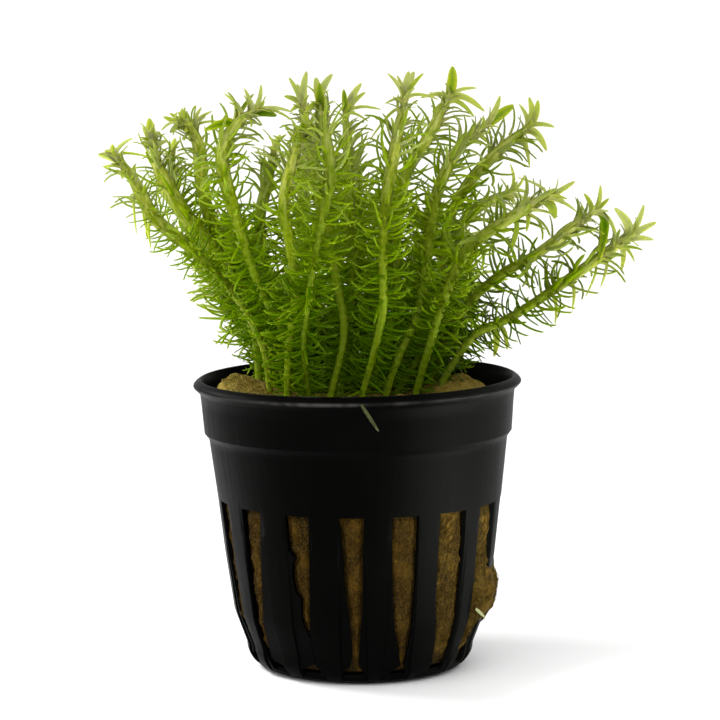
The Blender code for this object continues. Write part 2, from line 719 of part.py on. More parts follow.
def make_shed_leaf(name, ends, material):
    """A small loose leaf: a flat spindle of six sides from end to end."""
    start, end = (Vector(p) for p in ends)
    along = (end - start).normalized()
    middle = (start + end) / 2.0
    out = Vector((middle.x, middle.y, 0.0))
    out = (out - along * out.dot(along)).normalized()
    side = along.cross(out)
    vertices = [tuple(start), tuple(end)]
    for share in (0.25, 0.7):
        centre = start.lerp(end, share)
        for sideways, outward in ((0.5, 0.0), (0.0, 0.5), (-0.5, 0.0), (0.0, -0.5)):
            point = centre + side * sideways * SHED_LEAF_WIDTH + out * outward * SHED_LEAF_THICKNESS
            vertices.append(tuple(point))
    faces = []
    for i in range(4):
        j = (i + 1) % 4
        faces.append((0, 2 + i, 2 + j))
        faces.append((2 + i, 6 + i, 6 + j, 2 + j))
        faces.append((1, 6 + j, 6 + i))
    return make_object(name, vertices, faces, material)


def main():
    clear_scene()
    make_material("cutter", (0.8, 0.1, 0.1), 0.5)
    make_pot()
    wool = make_wool()
    axes = {}
    for name, points in SHOOTS.items():
        root = points[0]
        top = wool_top(root[0], root[1])
        seated = [(root[0], root[1], top - STEM_FOOT_DEPTH), (root[0], root[1], top + 0.4)]
        axes[name] = smooth_path(seated + list(points[1:]), AXIS_STEP)
    axes = spread_axes(axes)
    neighbours = Neighbours(axes)
    leaf_green = make_material("bogmoss_leaf", (0.16, 0.28, 0.02), 0.45)
    shoots = [Shoot(name, path, neighbours) for name, path in axes.items()]
    for shoot in shoots:
        shoot.build(leaf_green)
    cut(wool, join_meshes("socket_cutters", [shoot.socket_cutter() for shoot in shoots]), "sockets")
    shed_green = make_material("shed_leaf", (0.32, 0.33, 0.12), 0.5)
    make_shed_leaf("loose_leaf_pot", POT_LEAF, shed_green)
    make_shed_leaf("loose_leaf_wool", WOOL_LEAF, shed_green)


main()
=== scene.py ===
"""Stream bogmoss in its black net pot with rock wool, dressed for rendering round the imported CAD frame."""

import json
import math

import bmesh
import bpy
import numpy as np
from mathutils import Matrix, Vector, noise

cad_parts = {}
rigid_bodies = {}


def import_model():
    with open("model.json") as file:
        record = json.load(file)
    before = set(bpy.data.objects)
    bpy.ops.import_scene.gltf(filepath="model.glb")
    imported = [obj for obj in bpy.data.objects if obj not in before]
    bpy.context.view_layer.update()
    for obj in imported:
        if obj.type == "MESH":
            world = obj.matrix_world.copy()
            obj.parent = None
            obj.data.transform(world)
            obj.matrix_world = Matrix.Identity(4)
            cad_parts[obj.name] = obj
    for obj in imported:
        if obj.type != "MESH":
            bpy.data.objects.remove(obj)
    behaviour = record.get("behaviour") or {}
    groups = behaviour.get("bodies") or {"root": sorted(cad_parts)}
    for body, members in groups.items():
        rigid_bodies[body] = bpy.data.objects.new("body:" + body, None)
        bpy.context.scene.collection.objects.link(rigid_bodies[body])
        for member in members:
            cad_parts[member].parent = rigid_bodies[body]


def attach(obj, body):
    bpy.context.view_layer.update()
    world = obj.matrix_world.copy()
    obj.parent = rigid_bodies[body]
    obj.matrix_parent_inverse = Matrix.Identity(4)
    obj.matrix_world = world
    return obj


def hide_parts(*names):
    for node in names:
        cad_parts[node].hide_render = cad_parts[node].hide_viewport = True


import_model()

bl_info = {
    "name": "Stream bogmoss in a net pot",
    "version": (1, 0, 0),
    "blender": (4, 5, 0),
    "location": "3D View > Sidebar > Bogmoss",
    "description": "Makes a bunch of stream bogmoss in rock wool and a black net pot",
    "category": "Add Mesh",
}

MM = 0.001
PLASTIC_SMOOTH_ANGLE = 32.0
LEAF_SMOOTH_ANGLE = 50.0
GOLDEN_TURN = math.radians(137.5)
BLACK = (0.0, 0.0, 0.0, 1.0)
WHITE = (1.0, 1.0, 1.0, 1.0)

# Pot outline, in millimetres, as in the part's source
POT_HEIGHT = 50.0
POT_WALL = 0.9
COLLAR_RADIUS = 26.6
COLLAR_FOOT_RADIUS = 26.06
COLLAR_FOOT_HEIGHT = 40.5
COLLAR_STEP = 1.0
LIP_DROP = 2.6
BODY_TOP_RADIUS = 25.3
BODY_MIDDLE_RADIUS = 22.96
BODY_MIDDLE_HEIGHT = 20.0
BODY_LOW_RADIUS = 21.46
BODY_LOW_HEIGHT = 10.0
CORNER_RADIUS = 4.4
FOOT_RADIUS = 15.0

# Slots between the ribs, counted from the one at the pot's front
SLOT_COUNT = 16
FIRST_SLOT = math.radians(-93.6)
SLOT_TOP_HEIGHT = 29.3
ARCH_FOOT_HEIGHT = 1.3

# Height, left edge and right edge of a slot's opening, sideways from its middle, from its arch to its top
USUAL_SLOT = (
    (2.5, -1.8, 1.8), (3.6, -0.65, 0.65), (5.0, -0.7, 0.7), (9.5, -0.95, 0.95),
    (13.9, -1.25, 1.25), (20.6, -1.6, 1.6), (29.3, -1.95, 1.95),
)
SLOT_SHAPES = {
    13: ((2.5, -1.8, 1.8), (3.6, -0.6, 0.7), (9.5, -1.0, 1.1), (20.6, -1.7, 1.8), (29.3, -2.1, 2.1)),
    14: (
        (2.5, -1.8, 1.8), (3.6, -2.2, -1.2), (6.0, -2.6, -1.1), (9.4, -2.7, -0.5), (13.5, -2.7, 0.25),
        (19.5, -2.6, 1.0), (25.0, -2.5, 1.8), (29.3, -2.4, 2.4),
    ),
    15: (
        (2.5, -1.8, 1.8), (3.6, 0.75, 0.85), (8.5, 0.85, 0.95), (9.9, 0.27, 1.1), (11.9, -0.3, 1.3),
        (15.2, -0.05, 1.55), (15.9, -0.95, 1.6), (18.4, -1.3, 1.8), (20.8, -1.3, 2.0), (21.7, -0.45, 2.05),
        (22.8, -0.55, 2.1), (23.3, -1.7, 2.15), (29.3, -1.9, 2.45),
    ),
    0: (
        (2.5, -1.8, 1.8), (3.6, -0.5, 0.95), (5.2, -0.1, 0.92), (8.2, -0.12, 1.25), (12.6, -0.47, 1.66),
        (17.0, -1.06, 1.85), (23.5, -1.35, 2.0), (28.7, -1.85, 2.2), (29.3, -1.9, 2.25),
    ),
    1: (
        (2.5, -1.2, 1.6), (3.4, 0.75, 1.1), (4.6, 0.35, 1.35), (6.2, 0.0, 1.6), (8.6, -0.8, 1.75),
        (11.3, -1.5, 1.9), (18.9, -2.1, 2.1), (29.3, -2.6, 2.1),
    ),
    2: (
        (2.5, -1.0, 2.4), (3.6, -0.7, 2.9), (6.1, -0.9, 3.2), (10.7, -2.0, 3.2), (13.9, -2.5, 3.1),
        (22.7, -3.1, 2.8), (29.3, -3.4, 2.4),
    ),
    3: (
        (2.5, -1.5, 1.8), (3.6, -1.3, 1.7), (8.0, -1.5, 2.2), (11.4, -1.6, 2.6), (16.7, -1.9, 3.0),
        (22.0, -2.7, 3.1), (29.3, -3.1, 2.8),
    ),
}
SLOT_SIDE_ROOM = 0.05
EDGE_SLOPE = 0.12
SLOT_ROWS = 21
HOLE_SHARES = (0.25, 0.5, 0.75)
RIB_COLUMNS = 6

# How much deeper the flanges lie than the ribs, by height
RECESS_HEIGHTS = (4.0, 15.0, 25.0, 29.3)
RECESS_SHARES = (1.0, 0.65, 0.2, 0.05)

# The one rib that is bent outwards
BOWED_RIB = 3
BOW_DEPTH = 0.2
BOW_HEIGHT = 17.0
BOW_SPREAD = 8.0
BOW_HALF_ANGLE = math.radians(8.5)
BOW_FADE_ANGLE = math.radians(3.5)
BOW_TOP_HEIGHT = 30.5
BOW_TOP_FADE = 4.0

# The lip from the collar up and over, as radius and height
LIP_POINTS = (
    (26.62, 47.2), (26.78, 47.45), (27.15, 47.85), (27.5, 48.15), (27.68, 48.35), (27.76, 48.55),
    (27.7, 48.8), (27.4, 49.15), (27.0, 49.45), (26.7, 49.6), (26.5, 49.58), (26.32, 49.35), (26.1, 48.9),
    (25.8, 48.0),
)
# How strongly each ring of the lip takes the painted highlight
LIP_SHINE = {3: 0.4, 4: 1.0, 5: 0.7, 9: 0.5, 10: 0.3}
LIP_SHIFT = -0.3
LIP_TILT = 0.0125
TILT_HEIGHTS = (29.3, 47.0)

# Where the painted highlight on the lip and the painted sheen on the pot's right side fade in or out across
# the pot, in metres
HIGHLIGHT_START = (-0.019, -0.0125)
HIGHLIGHT_END = (0.0005, 0.005)
SHEEN_START = (0.007, 0.02)

# Heights and angles of the rows of the pot's wall, and radii of its floor
WALL_HEIGHTS = (29.9, 31.2, 33.0, 35.0, 37.0, 38.6, 39.4, 39.75, 40.15, 40.5, 41.5, 43.2, 45.2)
CORNER_DEGREES = (0.0, 12.0, 24.0, 35.0, 45.2, 55.0, 64.4, 71.0, 79.5, 90.0)
FLOOR_RADII = (4.0, 8.0, 12.0, 14.2)

# Rock wool, with x, y, rise and radius of each lump on it
WOOL_LUMPS = (
    (-21.9, -1.5, 3.7, 7.0),
    (17.0, -2.5, 3.2, 6.0),
    (8.0, -13.0, 0.8, 6.0),
    (16.0, 15.0, -3.0, 9.0),
    (-10.0, 18.0, -1.2, 7.0),
)
WOOL_BULGES = {3: 1.5, 4: 2.2, 5: 0.9}
WOOL_TOP_HEIGHT = 46.6
WOOL_EDGE_DROP = 1.2
WOOL_RIM_RADIUS = 24.1
WOOL_RIM_HEIGHT = 42.6
WOOL_EDGE_RADIUS = 17.0
WOOL_EDGE_WIDTH = 7.0
WOOL_FLOOR = 1.3
WOOL_FLOOR_RADII = (5.0, 11.0, 14.4)
WOOL_SLOT_FOOT = 3.4
WOOL_WALL_GAP = 1.5
WOOL_COLUMNS = 400
WOOL_FOOT_HEIGHTS = (2.6, 3.8)
WOOL_SIDE_FOOT = 4.6
WOOL_SIDE_STEP = 0.55
WAVE_SCALE = 0.21
WAVE_DEPTH = 0.5

# Radius and sink of the rings at the edge of the wool's top, then the radii of the rings inside them
WOOL_EDGE_RINGS = ((WOOL_RIM_RADIUS, 1.1), (23.7, 0.45), (23.1, 0.12))
WOOL_TOP_RADII = np.arange(22.4, 1.5, -0.9)

# The wool's side: its gap behind the ribs and how it is pressed out into the slots
SLEEVE_GAP = 0.45
PRESSED_DEPTH = 0.8
RIB_MARGIN = 0.15
RIB_FADE = 0.5
SLOT_FOOT_FADE = 1.6
SLOT_TOP_FADE = 0.8
BULGE_HEIGHT = 12.5
BULGE_SPREAD = 5.5

# Where the wool is squeezed round the rib beside its largest bulge
WRAPPED_SLOT = 3
WRAP_HEIGHT = 13.6
WRAP_SPREAD = 4.2
WRAP_REACH = 3.2
WRAP_RISE = 1.5
WRAP_FADE = 0.9
WRAP_STEEPNESS = 1.4
WRAP_ROOM = 0.4
WRAP_MARGIN = 0.6
LEAST_WRAP = 0.35

# Relief of the wool as scale and depth, and the steps and limits of its fibres
TOP_TUFTS = (0.5, 0.4)
SIDE_TUFTS = (0.55, 0.5)
WRAP_TUFTS = (0.55, 0.4)
TUFT_HEIGHT = 40.0
TOP_FIBRE_STEP = 0.42
SIDE_FIBRE_STEP = 0.4
TOP_FIBRE_RADIUS = 23.0
TOP_FIBRE_LIMIT = 23.4
SIDE_FIBRE_FOOT = 3.9
SIDE_FIBRE_ROOM = 0.3
LEAST_FIBRE_POINTS = 4

# Heights of the painted shade at the wool's foot, heights where the slot colours, moist and shaded, turn to
# the dry and lit top colours, and where painted light lightens it to the right, in metres
FOOT_SHADE_HEIGHTS = (0.0035, 0.0065)
DRY_LIT_HEIGHTS = (0.036, 0.044)
LIT_SIDE = (0.002, 0.021)

# Stems
STEM_FOOT_DEPTH = 2.6
AXIS_STEP = 1.0
AXIS_CLEARANCE = 2.7
SPREAD_ROUNDS = 60

# Each shoot: where it leaves the wool, the bends of its stem and its growing tip
SHOOTS = {
    "far_left": (
        (-15.0, -5.0, 47.5), (-16.0, -7.0, 55.5), (-20.0, -8.0, 63.5), (-27.5, -10.0, 72.0),
        (-33.5, -12.0, 77.5), (-37.0, -12.0, 84.0), (-39.6, -13.0, 87.4),
    ),
    "left_tall": (
        (-17.0, 1.0, 47.0), (-18.0, 2.0, 57.5), (-22.5, 3.0, 68.5), (-29.5, 4.0, 77.0),
        (-33.5, 5.0, 84.0), (-35.0, 5.0, 90.0),
    ),
    "left_inner": (
        (-15.5, 6.0, 46.5), (-16.5, 8.0, 55.5), (-22.5, 10.0, 64.0), (-28.5, 12.0, 72.5),
        (-32.0, 13.0, 80.5), (-32.0, 13.0, 86.5),
    ),
    "left_hook": (
        (-12.5, 1.0, 47.0), (-15.0, 3.0, 56.5), (-20.0, 4.0, 64.0), (-24.5, 5.0, 73.5),
        (-26.5, 6.0, 81.5), (-27.0, 6.0, 88.0), (-28.5, 5.0, 91.5), (-30.5, 3.0, 92.5),
    ),
    "left_arch": (
        (-8.0, -4.5, 47.5), (-11.5, -8.0, 56.0), (-16.5, -12.0, 66.5), (-20.0, -15.0, 78.0),
        (-22.0, -16.0, 86.0), (-21.3, -16.5, 90.5), (-19.3, -17.0, 93.5), (-16.5, -17.5, 95.3),
    ),
    "left_back": (
        (-7.5, 1.2, 47.0), (-11.0, 5.0, 55.0), (-15.5, 9.0, 65.0), (-17.0, 12.0, 74.5),
        (-15.5, 14.0, 82.0), (-14.5, 14.0, 87.0),
    ),
    "front_bent": (
        (-12.0, -8.5, 48.0), (-11.5, -12.0, 56.5), (-10.5, -15.0, 64.0), (-11.0, -17.0, 72.5),
        (-12.0, -18.0, 80.0), (-10.5, -20.0, 87.0), (-8.5, -22.0, 92.5),
    ),
    "top_left": (
        (-4.8, -8.0, 48.0), (-2.5, -9.0, 57.5), (-3.5, -8.0, 66.0), (-5.5, -6.0, 75.0),
        (-7.0, -5.0, 84.0), (-9.0, -4.0, 95.0),
    ),
    "top_front": (
        (-8.3, -9.5, 48.0), (-9.0, -15.0, 56.5), (-8.0, -20.0, 66.0), (-6.0, -24.0, 76.5),
        (-4.5, -26.0, 85.5), (-6.0, -27.0, 97.0),
    ),
    "top_mid": (
        (-3.2, -4.3, 47.5), (-2.0, 0.0, 55.5), (-1.0, 3.0, 65.5), (-1.5, 4.0, 75.5),
        (-1.5, 5.0, 84.0), (-2.0, 6.0, 93.0),
    ),
    "top_right": (
        (0.5, -9.0, 48.0), (2.5, -12.0, 55.0), (4.0, -15.0, 62.5), (4.0, -17.0, 71.5),
        (4.5, -18.0, 80.5), (7.5, -18.0, 96.5),
    ),
    "peak": (
        (1.3, -4.3, 47.5), (4.5, -2.0, 55.0), (6.5, 1.0, 64.0), (6.5, 3.0, 73.0),
        (8.0, 4.0, 83.0), (11.5, 4.0, 89.0), (15.3, 4.0, 96.3),
    ),
    "right_high": (
        (4.6, -7.8, 48.0), (6.5, -9.0, 53.5), (10.0, -9.0, 62.0), (11.5, -8.0, 71.5),
        (13.0, -7.0, 80.5), (16.5, -7.0, 88.0), (21.0, -7.0, 92.0),
    ),
    "right_star": (
        (6.3, -3.8, 47.5), (12.0, -1.0, 56.5), (14.0, 2.0, 65.5), (15.0, 4.0, 74.5),
        (18.5, 5.0, 81.5), (24.0, 6.0, 87.3), (29.0, 6.0, 91.3),
    ),
    "right_pale": (
        (7.5, 1.2, 47.0), (12.5, 6.0, 54.0), (14.5, 11.0, 61.5), (17.0, 16.0, 70.5),
        (20.0, 18.0, 76.0), (27.0, 20.0, 79.5),
    ),
    "right_thick": (
        (9.5, -8.3, 48.0), (12.0, -12.0, 57.0), (14.5, -15.0, 65.5), (18.0, -17.0, 72.5),
        (23.5, -19.0, 77.0), (31.0, -20.0, 81.2),
    ),
    "right_low": (
        (12.0, 0.0, 47.0), (14.5, -2.0, 54.0), (18.0, -4.0, 61.5), (23.5, -5.0, 67.0),
        (29.5, -6.0, 70.5), (39.0, -6.0, 77.5),
    ),
    "far_right": (
        (14.0, -5.3, 47.5), (16.0, -5.0, 52.5), (19.5, -5.0, 57.0), (25.5, -5.0, 60.0),
        (32.5, -5.0, 64.5), (45.6, -4.0, 73.6),
    ),
    "back_a": ((-11.0, 5.8, 46.5), (-14.5, 9.0, 56.0), (-20.0, 13.0, 67.0), (-26.0, 16.0, 76.0)),
    "back_b": ((-9.5, 10.3, 46.0), (-12.0, 14.5, 55.0), (-16.0, 20.0, 63.0), (-19.0, 24.0, 70.0)),
    "back_c": ((-6.0, 6.0, 46.5), (-8.0, 11.0, 57.0), (-9.5, 19.0, 70.0), (-10.0, 26.0, 83.0)),
    "back_d": ((-3.5, 10.8, 46.0), (-4.5, 17.0, 56.0), (-4.0, 26.0, 67.0), (-5.0, 34.0, 79.0)),
    "back_e": ((-1.5, 1.5, 47.0), (-1.0, 7.0, 58.0), (0.5, 14.0, 72.0), (-1.5, 20.0, 86.0)),
    "back_f": ((1.5, 11.0, 46.0), (2.0, 16.0, 56.0), (4.5, 23.0, 67.0), (6.0, 30.0, 79.0)),
    "back_g": ((4.0, 6.0, 46.5), (7.0, 12.0, 56.0), (10.5, 20.0, 66.0), (13.5, 26.0, 75.0)),
    "back_h": ((11.5, 5.5, 46.0), (16.0, 9.0, 54.0), (18.5, 14.0, 63.0), (18.0, 18.0, 72.0)),
    "back_i": ((7.0, 10.3, 45.5), (11.0, 17.0, 52.0), (15.0, 25.0, 57.0), (17.0, 32.0, 62.0)),
    "back_j": ((-14.0, 10.5, 46.0), (-18.0, 10.5, 54.0), (-22.0, 9.5, 61.0), (-25.0, 8.0, 67.0)),
    "back_k": ((-7.0, 14.3, 45.5), (-9.5, 20.0, 53.0), (-12.5, 26.0, 58.0), (-15.0, 31.0, 62.0)),
}

# The broad leaves round each growing tip: distance of the leaf's foot behind the tip, the leaf's end, its
# width and its tone, from 0 for dark green to 1 for pale
TIP_LEAVES = {
    "far_left": (
        (0.8, (-42.4, -14.3, 88.0), 1.3, 1.0),
        (0.5, (-40.3, -11.9, 89.6), 1.2, 1.0),
        (0.5, (-41.4, -13.4, 88.7), 1.3, 1.0),
        (0.3, (-36.9, -10.9, 90.6), 0.7, 1.0),
        (2.8, (-41.9, -13.7, 86.0), 0.5, 0.8),
        (0.5, (-34.3, -11.9, 87.5), 0.5, 0.5),
        (7.4, (-36.4, -12.5, 74.7), 0.5, 0.7),
        (10.4, (-34.4, -10.1, 73.5), 0.7, 0.6),
        (12.3, (-34.0, -13.4, 72.3), 0.5, 0.6),
    ),
    "left_tall": (
        (2.3, (-36.3, 3.5, 91.8), 1.2, 1.0),
        (1.9, (-35.4, 6.0, 93.1), 1.7, 0.6),
        (1.9, (-33.8, 4.5, 90.9), 1.2, 0.9),
        (2.6, (-36.9, 7.1, 89.0), 1.0, 0.9),
        (2.6, (-32.1, 3.6, 89.3), 0.9, 0.9),
    ),
    "left_hook": (
        (4.6, (-26.3, 4.1, 95.0), 0.8, 1.0),
        (4.1, (-24.6, 6.4, 94.2), 0.7, 1.0),
        (4.3, (-22.2, 5.0, 92.4), 0.5, 0.8),
        (1.7, (-31.5, 6.2, 92.2), 1.4, 1.0),
        (2.3, (-30.5, 3.1, 93.0), 1.3, 1.0),
        (2.7, (-31.9, 5.8, 90.9), 1.0, 0.9),
        (3.9, (-29.5, 4.8, 89.2), 0.7, 0.7),
    ),
    "left_arch": (
        (3.2, (-21.6, -18.5, 98.1), 0.7, 0.9),
        (1.7, (-18.4, -16.2, 98.8), 0.8, 0.9),
        (0.8, (-15.6, -17.9, 99.5), 0.8, 0.9),
        (0.6, (-14.3, -15.4, 94.9), 0.6, 0.9),
        (0.0, (-10.3, -19.0, 94.9), 0.6, 0.9),
        (0.0, (-10.3, -16.5, 93.3), 0.5, 0.9),
        (4.9, (-24.9, -19.6, 92.1), 1.5, 0.0),
        (1.6, (-13.0, -19.5, 94.4), 1.4, 0.05),
        (7.0, (-19.9, -18.0, 88.9), 0.6, 0.6),
    ),
    "front_bent": (
        (3.4, (-8.8, -24.4, 93.6), 2.0, 0.15),
        (3.0, (-10.3, -20.0, 93.0), 1.0, 0.6),
        (3.8, (-11.4, -21.2, 92.2), 0.7, 0.6),
        (2.3, (-7.1, -19.2, 92.4), 0.9, 0.7),
        (4.6, (-7.5, -22.0, 89.1), 0.6, 0.6),
    ),
    "top_left": (
        (0.0, (-11.4, -5.5, 100.2), 0.9, 0.9),
        (0.0, (-12.3, -3.0, 97.0), 1.0, 0.8),
        (0.0, (-8.4, -4.5, 101.2), 1.3, 1.0),
        (0.0, (-10.1, -2.0, 99.0), 1.1, 0.9),
        (0.0, (-11.2, -5.5, 94.5), 0.8, 0.8),
    ),
    "top_front": (
        (0.0, (-6.6, -28.5, 100.9), 1.3, 1.0),
        (3.0, (-6.0, -30.0, 100.1), 1.5, 0.12),
        (0.0, (-3.9, -27.5, 101.4), 1.2, 1.0),
        (0.0, (-5.2, -25.0, 99.4), 1.3, 0.9),
        (0.7, (-8.3, -28.4, 95.4), 0.9, 0.6),
    ),
    "top_mid": (
        (0.0, (-2.3, 2.0, 97.9), 1.1, 0.2),
        (0.0, (0.7, 7.0, 98.8), 1.3, 1.0),
        (0.0, (1.4, 5.5, 97.3), 1.0, 0.9),
        (0.0, (4.1, 8.0, 94.2), 0.6, 0.8),
        (0.0, (1.9, 4.5, 92.3), 0.5, 0.7),
        (0.0, (-0.8, 7.0, 97.3), 1.1, 0.9),
    ),
    "top_right": (
        (0.0, (4.8, -19.5, 101.2), 0.8, 0.9),
        (0.0, (6.4, -17.0, 100.8), 0.7, 0.9),
        (0.0, (8.3, -18.5, 101.5), 1.5, 1.0),
        (0.0, (9.2, -16.0, 101.4), 1.3, 1.0),
        (0.0, (10.7, -19.5, 101.2), 0.8, 0.5),
        (0.0, (13.2, -17.0, 96.8), 0.6, 0.8),
        (0.0, (4.3, -18.5, 96.2), 0.5, 0.8),
        (2.1, (1.8, -16.0, 90.0), 0.5, 0.7),
    ),
    "peak": (
        (0.0, (15.9, 2.5, 101.7), 1.8, 0.2),
        (0.0, (20.2, 5.0, 97.9), 0.7, 0.9),
        (0.5, (10.5, 3.5, 96.3), 0.8, 0.8),
        (0.5, (21.6, 6.0, 93.8), 1.1, 0.7),
        (1.0, (19.7, 2.5, 93.0), 0.9, 0.6),
        (1.6, (12.6, 5.0, 93.9), 0.8, 0.8),
        (0.0, (17.9, 3.5, 96.6), 0.8, 0.9),
    ),
    "right_high": (
        (0.0, (23.5, -8.5, 97.2), 1.0, 0.8),
        (0.0, (25.9, -6.0, 95.5), 1.7, 0.2),
        (2.2, (21.2, -7.5, 89.4), 0.7, 0.5),
        (0.0, (22.6, -5.0, 92.9), 1.0, 0.7),
    ),
    "right_star": (
        (0.4, (28.9, 4.5, 96.4), 1.2, 0.7),
        (0.0, (30.6, 7.0, 95.8), 1.2, 0.7),
        (0.0, (33.4, 5.5, 91.2), 0.9, 0.9),
        (1.2, (32.2, 8.0, 87.0), 1.3, 0.8),
        (3.5, (29.1, 4.6, 84.4), 0.8, 0.7),
        (2.7, (28.9, 7.1, 85.9), 0.8, 0.8),
        (0.8, (27.3, 5.5, 95.2), 0.8, 0.9),
    ),
    "right_pale": (
        (1.0, (26.4, 18.2, 84.4), 0.6, 0.8),
        (2.1, (29.0, 20.5, 78.2), 1.0, 1.0),
        (1.0, (27.7, 19.2, 80.7), 0.9, 1.0),
        (2.1, (27.3, 21.5, 76.9), 0.7, 0.8),
    ),
    "right_thick": (
        (0.0, (35.0, -21.5, 83.8), 0.9, 0.9),
        (0.0, (33.4, -19.0, 79.9), 1.3, 0.9),
        (1.1, (35.4, -20.4, 78.7), 0.6, 0.8),
        (1.6, (32.0, -17.8, 77.4), 1.6, 0.2),
        (1.1, (25.5, -21.4, 84.5), 0.5, 0.8),
        (7.6, (24.5, -18.2, 71.5), 0.9, 0.2),
        (5.0, (27.2, -20.0, 75.5), 0.8, 0.5),
    ),
    "right_low": (
        (0.0, (39.8, -7.5, 69.2), 1.5, 0.0),
        (0.7, (37.6, -5.0, 80.7), 0.9, 0.6),
        (0.0, (40.2, -6.5, 82.2), 0.8, 0.7),
        (0.0, (41.9, -4.0, 79.8), 0.8, 0.6),
        (0.0, (42.9, -7.5, 73.9), 0.8, 0.8),
        (5.4, (32.8, -5.1, 71.2), 0.9, 0.4),
    ),
    "far_right": (
        (1.0, (42.6, -5.6, 78.3), 1.5, 0.9),
        (1.0, (47.8, -3.1, 78.7), 1.0, 1.0),
        (1.0, (49.8, -4.6, 75.8), 1.2, 1.0),
        (2.1, (49.6, -2.1, 72.6), 1.0, 1.0),
        (3.1, (46.1, -5.7, 69.2), 0.6, 0.7),
        (3.1, (44.0, -3.2, 67.3), 1.0, 0.8),
        (6.3, (40.4, -4.9, 64.8), 0.6, 0.7),
        (8.5, (38.0, -2.6, 62.9), 0.5, 0.7),
        (13.5, (35.6, -6.4, 61.1), 0.6, 0.7),
        (17.4, (32.9, -4.0, 58.5), 0.6, 0.6),
        (27.4, (24.8, -5.5, 54.5), 0.9, 0.5),
        (28.7, (22.7, -3.0, 53.0), 1.2, 0.4),
    ),
}

# Length of the leaves of a shoot, and the height up to which its front is most bare
LEAF_SCALES = {"far_left": 0.85, "left_tall": 0.9, "left_hook": 0.8, "left_inner": 0.9}
BARE_HEIGHTS = {
    "front_bent": 30.0, "top_left": 34.0, "top_right": 18.0, "right_high": 14.0, "right_star": 9.0,
    "far_right": 10.0, "far_left": 15.0, "right_thick": 10.0, "top_front": 12.0,
}

# How close the leaves stand on a shoot, how thick its stem is and how leafy and broad-leaved its front is
THINNED = {"top_front": 0.8}
THIN_STEMS = {"top_front": 0.75}
STOUT_STEMS = {
    "left_tall": 1.4, "left_arch": 1.15, "left_hook": 1.15, "far_left": 1.1, "right_low": 0.85,
    "far_right": 0.88, "right_thick": 0.95,
}
LEAFY_STEMS = {
    "right_thick": 1.0, "right_low": 1.05, "far_right": 1.0, "right_high": 0.95, "left_tall": 0.95,
    "far_left": 0.95,
}
STOUT_LEAVED = {
    "right_thick": 1.3, "right_low": 1.35, "far_right": 1.35, "right_star": 1.2, "left_tall": 1.15,
}

# How much painted shade darkens a shoot, its tip's share of that, how strongly painted glints whiten its foot
# and how much painted shade darkens its stem
SHADES = {
    "right_thick": 0.44, "right_low": 0.46, "far_right": 0.44, "right_star": 0.36, "right_pale": 0.42,
    "top_front": 0.3, "left_back": 0.15, "top_left": 0.18, "top_right": 0.22, "right_high": 0.28,
    "far_left": 0.14, "left_inner": 0.15, "left_tall": 0.1, "top_mid": 0.12, "peak": 0.14,
}
TIP_SHADE = 0.6
GLINT_FEET = {"far_left": 0.4, "far_right": 0.1}
STEM_SHADES = {
    "top_front": 0.4, "left_arch": 0.2, "left_hook": 0.1, "left_tall": 0.1, "top_mid": 0.4, "peak": 0.2,
    "left_back": 0.5, "left_inner": 0.5, "right_pale": 0.4, "right_thick": 0.25,
}
BACK_STEM_SHADE = 0.8
FRONT_STEM_SHADE = 0.15

# Spacing of the stem's nodes, and the leaves' spacing and length on the shoots at the back
NODE_SPACING = 1.35
BACK_SPACING = 0.75
BACK_LENGTH = 1.15

# How deep a leaf's foot sits in its stem, and the side on which a stem is bare
FOOT_HOLD = 0.8
UPPER_BARENESS = 0.78
BARE_WAYS = {"far_left": (-0.75, -0.5, 0.1)}
FRONT_BARE_WAY = (0.0, -0.85, 0.0)

# Shapes of leaf to choose from: how each curls up or down and sweeps sideways, and the widths along it
LEAF_CURLS = {
    "a_grown": (
        (1.3, 0.0), (1.0, 0.4), (0.75, -0.4), (0.45, 0.3), (0.9, -0.2), (0.1, 0.4), (-0.5, -0.3),
        (1.15, 0.2),
    ),
    "b_young": (
        (-1.2, 0.0), (-0.9, 0.3), (-0.6, -0.3), (-1.0, -0.2), (-0.2, 0.3), (0.5, 0.2), (-1.4, 0.1),
        (-0.7, 0.0),
    ),
}
LEAF_KINDS = 8
LEAF_WIDTHS = {"a_grown": (1.0, 1.05, 1.0, 0.92, 0.78, 0.55), "b_young": (1.3, 1.2, 1.05, 0.92, 0.75, 0.5)}
LEAF_KEELS = {"a_grown": 0.066, "b_young": 0.072}
YOUNG_AGE = 0.26
YOUNG_AGE_SPREAD = 0.15
YOUNG_BLADE_AGE = 0.03
POINTED_LEAF = (0.85, 0.97, 1.02, 1.0, 0.94, 0.82, 0.62, 0.36)
OVAL_LEAF = (0.62, 0.8, 0.96, 1.0, 0.97, 0.86, 0.66, 0.36)
OVAL_TONE = 0.35
TRACED_WIDTH = 1.05

# What changes along a stem: distances behind its growing tip or above the wool, and the values there
REACH_BEHIND = ((0.0, 3.0, 8.0, 14.0, 22.0), (0.0, 0.95, 1.15, 1.1, 1.0))
REACH_ABOVE = ((0.0, 14.0), (0.62, 1.0))
BARE_FOOT = 0.8
BARE_TIP = 1.2
OLD_BEHIND = 42.0
SHADE_BEHIND = (0.0, 11.0)
THICKNESS_BEHIND = ((0.0, 0.8, 3.0, 8.0, 14.0, 24.0, 60.0), (0.6, 1.1, 1.7, 2.1, 2.05, 1.5, 0.92))
THIN_BEHIND = (12.0, 22.0)
STOUT_BEHIND = (4.0, 8.0, 18.0, 26.0)
NODE_BEHIND = (12.0, 20.0)
NODE_WIDTH = 0.14
NODE_SWELL = 0.13
PALE_ABOVE = (14.0, 20.0)
PITCH_BEHIND = ((0.0, 3.0, 8.0, 14.0, 30.0), (68.0, 58.0, 42.0, 8.0, -4.0))
BREADTH_BEHIND = ((0.0, 3.0, 8.0, 16.0, 30.0), (1.7, 1.55, 1.35, 1.2, 0.95))
DROOP_BEHIND = ((0.0, 10.0, 40.0), (0.0, 0.06, 0.16))
